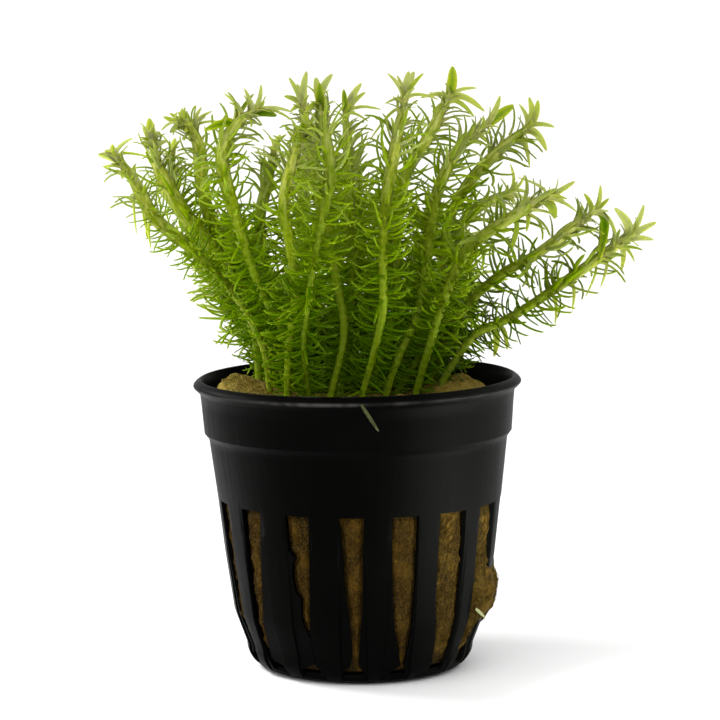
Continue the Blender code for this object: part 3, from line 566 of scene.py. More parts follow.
CROWD_BEHIND = ((0.0, 3.0, 8.0, 16.0, 28.0), (0.75, 0.46, 0.42, 0.6, 0.95))
THINNED_BEHIND = (14.0, 24.0)
LOW_BARENESS = (0.4, 0.5)
BARE_FADE = 6.0
USUAL_BARE_HEIGHT = 6.0

# Where the rings are along a small and along a broad leaf, and the broad leaf's thickness
LEAF_MARKS = (0.0, 0.12, 0.32, 0.54, 0.75, 0.91)
BLADE_MARKS = (0.0, 0.12, 0.27, 0.43, 0.59, 0.74, 0.87, 0.96)
BLADE_THICKNESS = 0.13

# Half the floor's side, in millimetres
FLOOR_REACH = 2.0e4

# Camera and lights: places and sizes in metres, angles in degrees and powers in watts
CAMERA_SHIFT = 0.0005
SUN_WAY = (-0.25, -1.0, 0.7)
SUN_SPREAD = 90.0
LEFT_LIGHT = (-0.12, 0.03, 0.1)
LEFT_TARGET = (-0.12, 0.03, 0.0)
LEFT_LIGHT_SIZE = 0.07
LEFT_POWER = 0.3
RIGHT_LIGHT = (0.098, -0.06, 0.32)
RIGHT_CONE = 24.0
RIGHT_POWER = 42.0

# Shed leaves, each as its two ends
POT_LEAF = ((0.35, -27.75, 48.5), (3.2, -26.7, 43.9))
WOOL_LEAF = ((19.35, -12.0, 11.75), (21.0, -10.2, 9.75))
SHED_LEAF_WIDTH = 0.6


def tint(red, green, blue):
    """A colour picked as 0 to 255 screen values, as the linear values that Blender's sockets take."""
    linear = []
    for value in (red, green, blue):
        share = value / 255.0
        linear.append(share / 12.92 if share <= 0.04045 else ((share + 0.055) / 1.055) ** 2.4)
    return (*linear, 1.0)


def clamp(share):
    return min(1.0, max(0.0, share))


def bell(value, middle, spread):
    """A smooth hump of 1 at its middle that fades to 0 on both sides."""
    return math.exp(-(((value - middle) / spread) ** 2))


def around(radius, angle, height):
    """The point at a radius, an angle and a height."""
    return radius * math.cos(angle), radius * math.sin(angle), height


def turn_from(start, angle):
    """The turn from one angle to another, between minus half a turn and half a turn."""
    return (angle - start + math.pi) % (2.0 * math.pi) - math.pi


def unit(vector):
    return vector / np.linalg.norm(vector)


# Meshes


def link_new(name, data):
    """A new object of the scene, for a mesh, a light or a camera."""
    obj = bpy.data.objects.new(name, data)
    bpy.context.scene.collection.objects.link(obj)
    return obj


def new_mesh(name, points, edges, faces):
    """A mesh from points in millimetres."""
    mesh = bpy.data.meshes.new(name)
    mesh.from_pydata([(x * MM, y * MM, z * MM) for x, y, z in points], edges, faces)
    return mesh


def store_values(mesh, values):
    """Stores a number for each point of a mesh under each of the names."""
    for name, numbers in values.items():
        attribute = mesh.attributes.new(name, "FLOAT", "POINT")
        attribute.data.foreach_set("value", np.asarray(numbers, np.float32))


def new_piece(name, vertices, faces, materials):
    """A mesh object at the origin from points in millimetres, its faces turned outwards."""
    mesh = new_mesh(name, vertices, [], faces)
    mesh.update()
    shape = bmesh.new()
    shape.from_mesh(mesh)
    bmesh.ops.recalc_face_normals(shape, faces=shape.faces)
    shape.to_mesh(mesh)
    shape.free()
    for material in materials:
        mesh.materials.append(material)
    return link_new(name, mesh)


def shade(piece, degrees):
    """Shades a piece smooth, apart from the edges that turn by more than an angle."""
    piece.data.shade_smooth()
    piece.data.set_sharp_from_angle(angle=math.radians(degrees))


def drop(obj):
    """Removes a helper object."""
    bpy.data.objects.remove(obj, do_unlink=True)


# Node trees


class Nodes:
    """Adds nodes to a tree and joins their sockets."""

    def __init__(self, tree):
        self.tree = tree

    def add(self, kind, settings=None, inputs=None):
        node = self.tree.nodes.new(kind)
        for name, value in (settings or {}).items():
            setattr(node, name, value)
        for name, value in (inputs or {}).items():
            self.put(node.inputs[name], value)
        return node

    def put(self, socket, value):
        if isinstance(value, bpy.types.NodeSocket):
            self.tree.links.new(value, socket)
        else:
            socket.default_value = value

    def math(self, operation, first, second=0.0):
        return self.add("ShaderNodeMath", {"operation": operation}, {0: first, 1: second}).outputs[0]

    def plus(self, first, second):
        return self.math("ADD", first, second)

    def minus(self, first, second):
        return self.math("SUBTRACT", first, second)

    def times(self, first, second):
        return self.math("MULTIPLY", first, second)

    def vector(self, operation, first, second):
        node = self.add("ShaderNodeVectorMath", {"operation": operation}, {0: first, 1: second})
        return node.outputs["Vector"]

    def upright(self, length):
        """A vector along Z."""
        return self.add("ShaderNodeCombineXYZ", {}, {"Z": length}).outputs["Vector"]

    def scaled(self, vector, scale):
        node = self.add("ShaderNodeVectorMath", {"operation": "SCALE"}, {0: vector, "Scale": scale})
        return node.outputs["Vector"]

    def dot(self, first, second):
        node = self.add("ShaderNodeVectorMath", {"operation": "DOT_PRODUCT"}, {0: first, 1: second})
        return node.outputs["Value"]


class GeometryTree(Nodes):
    """A geometry node tree with named inputs."""

    def __init__(self, name, sockets):
        super().__init__(bpy.data.node_groups.new(name, "GeometryNodeTree"))
        self.sockets = {}
        interface = self.tree.interface
        interface.new_socket("Geometry", in_out="INPUT", socket_type="NodeSocketGeometry")
        for label, kind in sockets:
            item = interface.new_socket(label, in_out="INPUT", socket_type=kind)
            self.sockets[label] = item.identifier
        interface.new_socket("Geometry", in_out="OUTPUT", socket_type="NodeSocketGeometry")
        self.given = self.add("NodeGroupInput").outputs
        self.result = self.add("NodeGroupOutput").inputs["Geometry"]

    def made(self, kind, output, **inputs):
        """One output of a new node whose inputs are given by their names."""
        return self.add(kind, {}, {label.replace("_", " "): v for label, v in inputs.items()}).outputs[output]

    def joined(self, *parts):
        """The parts as one geometry."""
        node = self.add("GeometryNodeJoinGeometry")
        for part in parts:
            self.put(node.inputs["Geometry"], part)
        return node.outputs["Geometry"]

    def attribute(self, name, kind="FLOAT"):
        node = self.add("GeometryNodeInputNamedAttribute", {"data_type": kind}, {"Name": name})
        return node.outputs["Attribute"]

    def random(self, low, high, seed_shift):
        """A random number for each place, from the tree's own seed moved by seed_shift."""
        seed = self.plus(self.given["Seed"], float(seed_shift))
        node = self.add("FunctionNodeRandomValue", {"data_type": "FLOAT"}, {2: low, 3: high, "Seed": seed})
        return node.outputs[1]

    def compare(self, operation, first, second):
        settings = {"data_type": "FLOAT", "operation": operation}
        return self.add("FunctionNodeCompare", settings, {0: first, 1: second}).outputs["Result"]

    def both(self, first, second):
        settings = {"operation": "AND"}
        return self.add("FunctionNodeBooleanMath", settings, {0: first, 1: second}).outputs[0]

    def store(self, geometry, name, value, domain, kind="FLOAT"):
        node = self.add(
            "GeometryNodeStoreNamedAttribute",
            {"data_type": kind, "domain": domain},
            {"Geometry": geometry, "Name": name, "Value": value},
        )
        return node.outputs["Geometry"]

    def apply(self, guide, name, values):
        """The plain mesh that the tree makes from a guide, whose modifier and object are then removed."""
        modifier = guide.modifiers.new(self.tree.name, "NODES")
        modifier.node_group = self.tree
        for label, value in values.items():
            modifier[self.sockets[label]] = value
        guide.update_tag()
        depsgraph = bpy.context.evaluated_depsgraph_get()
        mesh = bpy.data.meshes.new_from_object(guide.evaluated_get(depsgraph), depsgraph=depsgraph)
        guide.modifiers.clear()
        drop(guide)
        mesh.name = name
        return link_new(name, mesh)


class Finish(Nodes):
    """A material of one Principled shader fed by procedural nodes."""

    def __init__(self, name, **sockets):
        self.material = bpy.data.materials.new(name)
        self.material.use_nodes = True
        super().__init__(self.material.node_tree)
        self.shader = self.tree.nodes["Principled BSDF"]
        for label, value in sockets.items():
            self.shader.inputs[label.replace("_", " ")].default_value = value
        self.place = self.add("ShaderNodeTexCoord").outputs["Object"]

    def value(self, name):
        """The number stored at the piece's points under a name."""
        return self.add("ShaderNodeAttribute", {"attribute_name": name}).outputs["Fac"]

    def stretched(self, scale):
        """Object coordinates scaled by a number a metre in each direction."""
        return self.vector("MULTIPLY", self.place, scale)

    def grain(self, scale, detail, roughness=0.55, place=None, distortion=0.0):
        inputs = {"Vector": place or self.place, "Scale": scale, "Detail": detail}
        inputs |= {"Roughness": roughness, "Distortion": distortion}
        return self.add("ShaderNodeTexNoise", {}, inputs).outputs["Fac"]

    def ramp(self, value, stops):
        node = self.add("ShaderNodeValToRGB", {}, {"Fac": value})
        ramp = node.color_ramp
        while len(ramp.elements) < len(stops):
            ramp.elements.new(0.5)
        for element, (position, colour) in zip(ramp.elements, stops):
            element.position = position
            element.color = colour
        return node.outputs["Color"]

    def mix(self, share, first, second):
        node = self.add("ShaderNodeMix", {"data_type": "RGBA"}, {"Factor": share, 6: first, 7: second})
        return node.outputs[2]

    def spread(self, value, low, high, out_low, out_high):
        """A value that lies between low and high, spread over another range and held inside it."""
        inputs = {"Value": value, "From Min": low, "From Max": high, "To Min": out_low, "To Max": out_high}
        return self.add("ShaderNodeMapRange", {}, inputs).outputs["Result"]

    def bump(self, height, distance, strength, normal=None):
        inputs = {"Height": height, "Distance": distance, "Strength": strength}
        if normal is not None:
            inputs["Normal"] = normal
        return self.add("ShaderNodeBump", {}, inputs).outputs["Normal"]

    def feed(self, label, value):
        self.put(self.shader.inputs[label], value)


# Pot


def pot_radius(height):
    """The outside radius of the pot's body, below its lip."""
    if height < CORNER_RADIUS:
        return FOOT_RADIUS + math.sqrt(CORNER_RADIUS**2 - (CORNER_RADIUS - height) ** 2)
    heights = (
        CORNER_RADIUS, BODY_LOW_HEIGHT, BODY_MIDDLE_HEIGHT, COLLAR_FOOT_HEIGHT - COLLAR_STEP,
        COLLAR_FOOT_HEIGHT, POT_HEIGHT - LIP_DROP,
    )
    radii = (
        FOOT_RADIUS + CORNER_RADIUS, BODY_LOW_RADIUS, BODY_MIDDLE_RADIUS, BODY_TOP_RADIUS,
        COLLAR_FOOT_RADIUS, COLLAR_RADIUS,
    )
    return float(np.interp(height, heights, radii))


def slot_angle(slot):
    """The angle of the middle of a slot."""
    return FIRST_SLOT + 2.0 * math.pi * slot / SLOT_COUNT


def slot_edges(slot, height):
    """Left and right edge of the opening, which the ribs' side flanges narrow towards the foot."""
    rows = SLOT_SHAPES.get(slot, USUAL_SLOT)
    heights = [row[0] for row in rows]
    return [float(np.interp(height, heights, [row[k] for row in rows])) for k in (1, 2)]


def slot_room(slot):
    """Left and right edge of the raised ribs beside a slot."""
    rows = SLOT_SHAPES.get(slot, USUAL_SLOT)
    return min(row[1] for row in rows) - SLOT_SIDE_ROOM, max(row[2] for row in rows) + SLOT_SIDE_ROOM


def bow(angle, height):
    """How far the wall bulges outwards at an angle and height, on the one rib that is bent."""
    middle = slot_angle(BOWED_RIB) + math.pi / SLOT_COUNT
    off = abs(turn_from(middle, angle))
    share = clamp((BOW_HALF_ANGLE - off) / BOW_FADE_ANGLE)
    fade = clamp((BOW_TOP_HEIGHT - height) / BOW_TOP_FADE)
    return BOW_DEPTH * share * fade * bell(height, BOW_HEIGHT, BOW_SPREAD)


class PotWall:
    """The pot as two like grids of rows and columns, outside and inside, open at the slots."""

    def __init__(self, settings):
        self.wall = settings.wall / MM
        self.recess = settings.flange_recess / MM
        self.vertices = []
        self.faces = []
        self.shine = []

    def outline(self):
        """Rows from the foot up, each an outside and an inside point of radius and height."""
        rows = [((radius, 0.0), (radius, self.wall)) for radius in FLOOR_RADII]
        for degrees in CORNER_DEGREES:
            across = math.sin(math.radians(degrees))
            down = math.cos(math.radians(degrees))
            inner = CORNER_RADIUS - self.wall
            outside = (FOOT_RADIUS + CORNER_RADIUS * across, CORNER_RADIUS * (1.0 - down))
            inside = (FOOT_RADIUS + inner * across, CORNER_RADIUS - inner * down)
            rows.append((outside, inside))
        slot_rows = np.linspace(CORNER_RADIUS, SLOT_TOP_HEIGHT, SLOT_ROWS + 1)[1:]
        for height in [*slot_rows, *WALL_HEIGHTS]:
            rows.append(((pot_radius(height), height), (pot_radius(height) - self.wall, height)))
        return rows

    def columns(self, height):
        """Angles of the columns at a height, each on the edge or inside of a hole, a flange or a rib."""
        radius = pot_radius(height)
        result = []
        for slot in range(SLOT_COUNT):
            left, right = slot_edges(slot, height)
            outer_left, outer_right = slot_room(slot)
            ways = [(outer_left - EDGE_SLOPE, "band"), (outer_left, "flange"), (left, "edge")]
            ways += [(left + (right - left) * share, "hole") for share in HOLE_SHARES]
            ways += [(right, "edge"), (outer_right, "flange"), (outer_right + EDGE_SLOPE, "band")]
            for sideways, kind in ways:
                result.append((slot_angle(slot) + math.asin(sideways / radius), kind))
            start = result[-1][0]
            next_left = slot_room((slot + 1) % SLOT_COUNT)[0]
            end = slot_angle(slot + 1) + math.asin((next_left - EDGE_SLOPE) / radius)
            result += [(start + (end - start) * k / RIB_COLUMNS, "band") for k in range(1, RIB_COLUMNS)]
        return result

    def add_row(self, radius, height, column_height, outside, shine=0.0):
        """One row of vertices; the flanges of the outside lie a little deeper than the ribs."""
        row = []
        askew = float(np.interp(height, TILT_HEIGHTS, (0.0, 1.0)))
        in_slots = ARCH_FOOT_HEIGHT - 0.2 < column_height < SLOT_TOP_HEIGHT + 0.01
        recess = self.recess * float(np.interp(column_height, RECESS_HEIGHTS, RECESS_SHARES))
        for angle, kind in self.columns(column_height):
            reach = radius + bow(angle, height)
            if outside and in_slots and kind in ("flange", "edge", "hole"):
                reach -= recess
            row.append(len(self.vertices))
            x, y, _ = around(reach, angle, height)
            self.vertices.append((x + LIP_SHIFT * askew, y, height + LIP_TILT * x * askew))
            self.shine.append(shine)
        return row

    def band(self, lower, upper):
        """The faces between two rows."""
        count = len(lower)
        for i in range(count):
            j = (i + 1) % count
            self.faces.append((lower[i], lower[j], upper[j], upper[i]))

    def fan(self, centre, row):
        """The faces that close a row round its centre."""
        self.vertices.append(centre)
        self.shine.append(0.0)
        last = len(self.vertices) - 1
        for i in range(len(row)):
            self.faces.append((row[i], row[(i + 1) % len(row)], last))

    def slotted(self, outside, inside, heights):
        """The faces of both sides from the floor to the lip, left open and edged at the slots."""
        kinds = [kind for _, kind in self.columns(SLOT_TOP_HEIGHT)]
        for k in range(len(heights) - 1):
            open_row = heights[k] > ARCH_FOOT_HEIGHT - 0.05 and heights[k + 1] < SLOT_TOP_HEIGHT + 0.01
            below_open = k > 0 and heights[k - 1] > ARCH_FOOT_HEIGHT - 0.05
            a, b = outside[k], outside[k + 1]
            c, d = inside[k], inside[k + 1]
            for i in range(len(kinds)):
                j = (i + 1) % len(kinds)
                if not (open_row and "hole" in (kinds[i], kinds[j])):
                    self.faces.append((a[i], a[j], b[j], b[i]))
                    self.faces.append((c[j], c[i], d[i], d[j]))
                    continue
                if kinds[i] == "edge":
                    self.faces.append((a[i], c[i], d[i], b[i]))
                if kinds[j] == "edge":
                    self.faces.append((a[j], b[j], d[j], c[j]))
                if not below_open:
                    self.faces.append((a[i], a[j], c[j], c[i]))
                if abs(heights[k + 1] - SLOT_TOP_HEIGHT) < 0.01:
                    self.faces.append((b[i], d[i], d[j], b[j]))

    def build(self, material):
        outline = self.outline()
        outside = [self.add_row(*outer, outer[1], True) for outer, _ in outline]
        inside = [self.add_row(*inner, outer[1], False) for outer, inner in outline]
        lip = [
            self.add_row(radius, height, height, False, LIP_SHINE.get(k, 0.0))
            for k, (radius, height) in enumerate(LIP_POINTS)
        ]
        self.slotted(outside, inside, [outer[1] for outer, _ in outline])
        self.fan((0.0, 0.0, 0.0), outside[0])
        self.fan((0.0, 0.0, self.wall), inside[0])
        self.band(outside[-1], lip[0])
        for lower, upper in zip(lip[:-1], lip[1:]):
            self.band(lower, upper)
        self.band(lip[-1], inside[-1])
        piece = new_piece("net_pot", self.vertices, self.faces, [material])
        store_values(piece.data, {"shine": self.shine})
        shade(piece, PLASTIC_SMOOTH_ANGLE)
        return piece


def pot_finish(settings):
    """Black plastic: a soft sheen, faint up-and-down moulding lines, fine scuffs, a little dust, a painted
    sheen on its right side and a painted highlight along the front of the lip.
    """
    finish = Finish("black_plastic", Specular_IOR_Level=0.015, Specular_Tint=(0.95, 1.0, 0.86, 1.0))
    cloud = finish.grain(38.0, 3.0)
    streaks = finish.grain(1.0, 3.0, 0.6, finish.stretched((900.0, 900.0, 35.0)))
    scuffs = finish.grain(1400.0, 2.0, 0.7)
    across = finish.add("ShaderNodeSeparateXYZ", {}, {"Vector": finish.place}).outputs["X"]

    stops = ((0.3, settings.colour), (0.62, settings.worn_colour), (1.0, settings.worn_colour))
    colour = finish.ramp(cloud, stops)
    # Painted sheen: the right side is lightened in patches in place of the reflection of the light there
    dusty = finish.spread(across, *SHEEN_START, 0.0, 1.0)
    dusty = finish.times(dusty, finish.spread(cloud, 0.3, 0.6, 0.6, 1.0))
    colour = finish.mix(dusty, colour, settings.side_sheen_colour)

    # Painted highlight: a broken light line along the front of the lip
    highlit = finish.spread(finish.grain(110.0, 3.0, 0.7), 0.42, 0.62, 0.12, 1.0)
    highlit = finish.times(finish.value("shine"), highlit)
    left = finish.spread(across, *HIGHLIGHT_START, 0.3, 1.0)
    right = finish.spread(across, *HIGHLIGHT_END, 1.0, 0.3)
    highlit = finish.times(highlit, finish.times(left, right))
    colour = finish.mix(highlit, colour, settings.lip_highlight_colour)
    finish.feed("Base Color", colour)

    rough = finish.spread(cloud, 0.3, 0.7, 0.30, 0.42)
    finish.feed("Roughness", finish.plus(rough, finish.spread(streaks, 0.3, 0.8, 0.0, 0.1)))
    lines = finish.bump(streaks, 0.00012, 0.35)
    finish.feed("Normal", finish.bump(scuffs, 0.00004, 0.3, lines))
    return finish.material


# Rock wool


def wool_top(x, y):
    """The height of the wool's upper surface, as in the part's source."""
    radius = math.hypot(x, y)
    edge = clamp((radius - WOOL_EDGE_RADIUS) / WOOL_EDGE_WIDTH)
    height = WOOL_TOP_HEIGHT - WOOL_EDGE_DROP * edge * edge
    for lump_x, lump_y, rise, size in WOOL_LUMPS:
        away = math.hypot(x - lump_x, y - lump_y) / size
        height += rise * math.exp(-away * away)
    return height + WAVE_DEPTH * noise.noise(Vector((x * WAVE_SCALE, y * WAVE_SCALE, 3.1)))


def tufts(x, y, z, scale, depth):
    """Lumpy relief of the matted fibres."""
    place = Vector((x, y, z)) * scale
    coarse = noise.noise(place)
    fine = noise.noise(place * 2.7 + Vector((5.1, 2.2, 7.3)))
    return depth * (coarse + 0.5 * fine)


def tufted_top(x, y):
    """The relief of the wool's upper surface."""
    return tufts(x, y, TUFT_HEIGHT, *TOP_TUFTS)


def wrapped_wool(sideways, right, height):
    """How far the wool squeezed round the rib reaches at a height and covers a place, each as a share."""
    along = bell(height, WRAP_HEIGHT, WRAP_SPREAD)
    return along, clamp((right + WRAP_REACH * along - sideways) / WRAP_FADE)


def wool_side(angle, height):
    """The radius of the plug's side: pressed out into the slots, drawn in behind the ribs."""
    turn = 2.0 * math.pi / SLOT_COUNT
    slot = int(round((angle - FIRST_SLOT) / turn)) % SLOT_COUNT
    outer = pot_radius(height)
    x, y, _ = around(outer, angle, height)
    sideways = outer * math.sin(turn_from(slot_angle(slot), angle))
    left, right = slot_edges(slot, height)
    if slot == WRAPPED_SLOT and sideways > right - WRAP_MARGIN:
        along, over = wrapped_wool(sideways, right, height)
        if over > 0.0 and along > LEAST_WRAP:
            cover = min(1.0, over * WRAP_STEEPNESS)
            return outer + WRAP_RISE * along * cover + tufts(x, y, height, *WRAP_TUFTS)
    side_room = right - sideways + (WRAP_ROOM if slot == WRAPPED_SLOT else 0.0)
    share = clamp((min(sideways - left, side_room) - RIB_MARGIN) / RIB_FADE)
    above_foot = clamp((height - WOOL_SLOT_FOOT) / SLOT_FOOT_FADE)
    share *= above_foot * clamp((SLOT_TOP_HEIGHT - height) / SLOT_TOP_FADE)
    swell = WOOL_BULGES.get(slot, 0.0) * bell(height, BULGE_HEIGHT, BULGE_SPREAD)
    inside = outer - POT_WALL - SLEEVE_GAP
    pressed = outer - PRESSED_DEPTH + swell + tufts(x, y, height, *SIDE_TUFTS)
    return inside + (pressed - inside) * share * share * (3.0 - 2.0 * share) - RIB_MARGIN * (1.0 - share)


def wool_rings(angles):
    """The rings of the plug's surface, from its floor over its side to near its middle."""
    rings = [[around(radius, a, WOOL_FLOOR) for a in angles] for radius in WOOL_FLOOR_RADII]
    side_heights = np.arange(WOOL_SIDE_FOOT, SLOT_TOP_HEIGHT + SLOT_TOP_FADE, WOOL_SIDE_STEP)
    for height in [*WOOL_FOOT_HEIGHTS, *side_heights]:
        ring = []
        for a in angles:
            radius = wool_side(a, height) if height < SLOT_TOP_HEIGHT else pot_radius(height) - WOOL_WALL_GAP
            ring.append(around(radius, a, height))
        rings.append(ring)
    rings.append([around(WOOL_RIM_RADIUS, a, WOOL_RIM_HEIGHT) for a in angles])
    for radius, sink in [*WOOL_EDGE_RINGS, *((radius, 0.0) for radius in WOOL_TOP_RADII)]:
        ring = []
        for a in angles:
            x, y, _ = around(radius, a, 0.0)
            ring.append((x, y, wool_top(x, y) - sink + tufted_top(x, y)))
        rings.append(ring)
    return rings


def wool_base():
    """The closed lumpy body of the plug: its points, then its faces."""
    count = WOOL_COLUMNS
    rings = wool_rings([2.0 * math.pi * i / count for i in range(count)])
    vertices = [(0.0, 0.0, WOOL_FLOOR), (0.0, 0.0, wool_top(0.0, 0.0))]
    faces = []
    first = len(vertices)
    last = first + (len(rings) - 1) * count
    for ring in rings:
        vertices += ring
    for low in range(first, last, count):
        for i in range(count):
            j = (i + 1) % count
            faces.append((low + i, low + j, low + count + j, low + count + i))
    for i in range(count):
        j = (i + 1) % count
        faces.append((0, first + j, first + i))
        faces.append((1, last + i, last + j))
    return vertices, faces


def top_fibre(random):
    """The points of one fibre that lies in curls on the wool's top, most often on its two high lumps."""
    if random.random() < 0.6:
        lump = WOOL_LUMPS[0] if random.random() < 0.5 else WOOL_LUMPS[1]
        x = lump[0] + random.normal() * 3.6
        y = lump[1] + random.normal() * 4.5 - 1.0
    else:
        radius = TOP_FIBRE_RADIUS * math.sqrt(random.random())
        x, y, _ = around(radius, random.random() * 2.0 * math.pi, 0.0)
    heading = 4.0 * noise.noise(Vector((x * 0.12, y * 0.12, 9.0))) + random.normal() * 0.5
    turning = random.normal() * 0.12
    lift = abs(random.normal()) * 0.16
    points = []
    for step in range(random.integers(6, 12)):
        if math.hypot(x, y) > TOP_FIBRE_LIMIT:
            break
        rise = lift * math.sin(math.pi * min(1.0, (step + 0.5) / 8.0)) + 0.02
        points.append((x, y, wool_top(x, y) + tufted_top(x, y) + rise))
        heading += turning + random.normal() * 0.08
        x += TOP_FIBRE_STEP * math.cos(heading)
        y += TOP_FIBRE_STEP * math.sin(heading)
    return points


def side_fibre(random):
    """The points of one fibre that lies on the wool in a slot, mostly aslant and at the pot's front."""
    at_front = random.random() < 0.75
    slot = int(random.integers(-5, 6) if at_front else random.integers(0, SLOT_COUNT)) % SLOT_COUNT
    height = 4.5 + (SLOT_TOP_HEIGHT - 5.5) * random.random()
    left, right = slot_edges(slot, height)
    sideways = left + (right - left) * random.random()
    slant = 2.2 * noise.noise(Vector((slot * 3.7, height * 0.16, 1.0))) + random.normal() * 0.35 + 1.35
    turning = random.normal() * 0.1
    lift = abs(random.normal()) * 0.1
    points = []
    for step in range(random.integers(5, 11)):
        if not SIDE_FIBRE_FOOT < height < SLOT_TOP_HEIGHT - 0.6:
            break
        left, right = slot_edges(slot, height)
        if not left + SIDE_FIBRE_ROOM < sideways < right - SIDE_FIBRE_ROOM:
            break
        angle = slot_angle(slot) + math.asin(sideways / pot_radius(height))
        reach = wool_side(angle, height) + 0.04 + lift * math.sin(math.pi * min(1.0, (step + 0.5) / 7.0))
        points.append(around(reach, angle, height))
        slant += turning
        sideways += SIDE_FIBRE_STEP * math.cos(slant)
        height += SIDE_FIBRE_STEP * math.sin(slant)
    return points


def fibre_guide(settings):
    """Loose edge chains for the fibres to follow, on the wool's upper surface and in its slots."""
    random = np.random.default_rng(settings.seed)
    chains = [top_fibre(random) for _ in range(settings.top_fibres)]
    chains += [side_fibre(random) for _ in range(settings.side_fibres)]
    vertices = []
    edges = []
    for chain in chains:
        if len(chain) < LEAST_FIBRE_POINTS:
            continue
        start = len(vertices)
        vertices += chain
        edges += [(start + k, start + k + 1) for k in range(len(chain) - 1)]
    return link_new("fibre_guide", new_mesh("fibre_guide", vertices, edges, []))


def fibre_tree():
    """Turns edge chains into thin three-sided fibres and joins the wool's body to them."""
    tree = GeometryTree(
        "wool_fibres",
        (
            ("Body", "NodeSocketObject"),
            ("Fibre Radius", "NodeSocketFloat"),
            ("Material", "NodeSocketMaterial"),
        ),
    )
    curve = tree.made("GeometryNodeMeshToCurve", "Curve", Mesh=tree.given["Geometry"])
    ends = tree.made("GeometryNodeSplineParameter", "Factor")
    swell = tree.math("SINE", tree.times(tree.plus(ends, 0.08), 2.7))
    thickness = tree.times(tree.given["Fibre Radius"], tree.math("MAXIMUM", swell, 0.25))
    radius = tree.made("GeometryNodeSetCurveRadius", "Curve", Curve=curve, Radius=thickness)
    profile = tree.made("GeometryNodeCurvePrimitiveCircle", "Curve", Resolution=3, Radius=1.0)
    scale = tree.made("GeometryNodeInputRadius", "Radius")
    fibres = tree.made(
        "GeometryNodeCurveToMesh", "Mesh", Curve=radius, Profile_Curve=profile, Scale=scale, Fill_Caps=True
    )
    fibres = tree.store(fibres, "fibre", 1.0, "POINT")
    body = tree.made("GeometryNodeObjectInfo", "Geometry", Object=tree.given["Body"])
    body = tree.store(body, "fibre", 0.0, "POINT")
    smooth = tree.made("GeometryNodeSetShadeSmooth", "Geometry", Geometry=tree.joined(fibres, body))
    real = tree.made("GeometryNodeRealizeInstances", "Geometry", Geometry=smooth)
    painted = tree.made(
        "GeometryNodeSetMaterial", "Geometry", Geometry=real, Material=tree.given["Material"]
    )
    tree.put(tree.result, painted)
    return tree


def wool_finish(settings):
    """Tan mineral wool: brown and wet in the slots, darkened there and at its foot with painted shade, dry,
    golden and lit on top, a little lighter to the right with painted light, with dark pores.
    """
    finish = Finish("tan_wool", Roughness=0.95, Specular_IOR_Level=0.1)
    patches = finish.grain(150.0, 5.0, 0.6, distortion=0.8)
    fine = finish.grain(2300.0, 3.0, 0.7)
    fibre = finish.value("fibre")
    place = finish.add("ShaderNodeSeparateXYZ", {}, {"Vector": finish.place}).outputs

    # Slot colours: moist wool darkened with painted shade; top colours: dry wool, lit
    on_top = finish.spread(place["Z"], *DRY_LIT_HEIGHTS, 0.0, 1.0)
    # Painted light: to the right, the wool turns a little towards its lit top colours
    dry_and_lit = finish.math("MAXIMUM", on_top, finish.spread(place["X"], *LIT_SIDE, 0.0, 0.1))
    stops = ((0.34, settings.dark_colour), (0.5, settings.colour), (0.7, settings.light_colour))
    damp_shaded = finish.ramp(patches, stops)
    stops = ((0.34, settings.dark_top_colour), (0.5, settings.top_colour), (0.7, settings.fibre_colour))
    colour = finish.mix(dry_and_lit, damp_shaded, finish.ramp(patches, stops))
    lighter = finish.mix(dry_and_lit, settings.light_colour, settings.fibre_colour)
    colour = finish.mix(finish.spread(fine, 0.42, 0.72, 0.0, 0.7), colour, lighter)

    pores = finish.spread(finish.grain(900.0, 3.0, 0.65), 0.34, 0.46, 0.55, 0.0)
    hollows = finish.spread(finish.grain(330.0, 3.0, 0.6), 0.3, 0.42, 0.7, 0.0)
    pores = finish.times(finish.math("MAXIMUM", pores, hollows), finish.spread(fibre, 0.0, 1.0, 1.0, 0.2))
    colour = finish.mix(pores, colour, settings.pore_colour)
    colour = finish.mix(finish.times(fibre, 0.45), colour, lighter)
    # Painted shade: the wool darkens towards its foot, which is seen through the arches of the slots
    uneven = finish.plus(place["Z"], finish.times(patches, 0.004))
    colour = finish.mix(finish.spread(uneven, *FOOT_SHADE_HEIGHTS, 0.9, 0.0), colour, settings.pore_colour)
    finish.feed("Base Color", colour)

    clumps = finish.bump(finish.grain(700.0, 3.0, 0.6), 0.0008, 0.7)
    finish.feed("Normal", finish.bump(fine, 0.0004, 0.9, clumps))
    return finish.material


# Leaves and stems


def smooth_path(points, step):
    """Even steps along a smooth curve through the points, as in the part's source."""
    points = np.array(points, float)
    ends = np.vstack([2 * points[0] - points[1], points, 2 * points[-1] - points[-2]])
    dense = []
    for i in range(1, len(ends) - 2):
        a, b, c, d = ends[i - 1 : i + 3]
        for t in np.linspace(0.0, 1.0, 16, endpoint=False):
            square = 2 * a - 5 * b + 4 * c - d
            cube = 3 * b - a - 3 * c + d
            dense.append(0.5 * (2 * b + (c - a) * t + square * t**2 + cube * t**3))
    dense.append(points[-1])
    dense = np.array(dense)
    along = lengths_along(dense)
    count = max(3, int(round(along[-1] / step)))
    wanted = np.linspace(0.0, along[-1], count + 1)
    return np.stack([np.interp(wanted, along, dense[:, k]) for k in range(3)], axis=1)


def lengths_along(path):
    """The distance of each point of a path from its first."""
    return np.concatenate([[0.0], np.cumsum(np.linalg.norm(np.diff(path, axis=0), axis=1))])


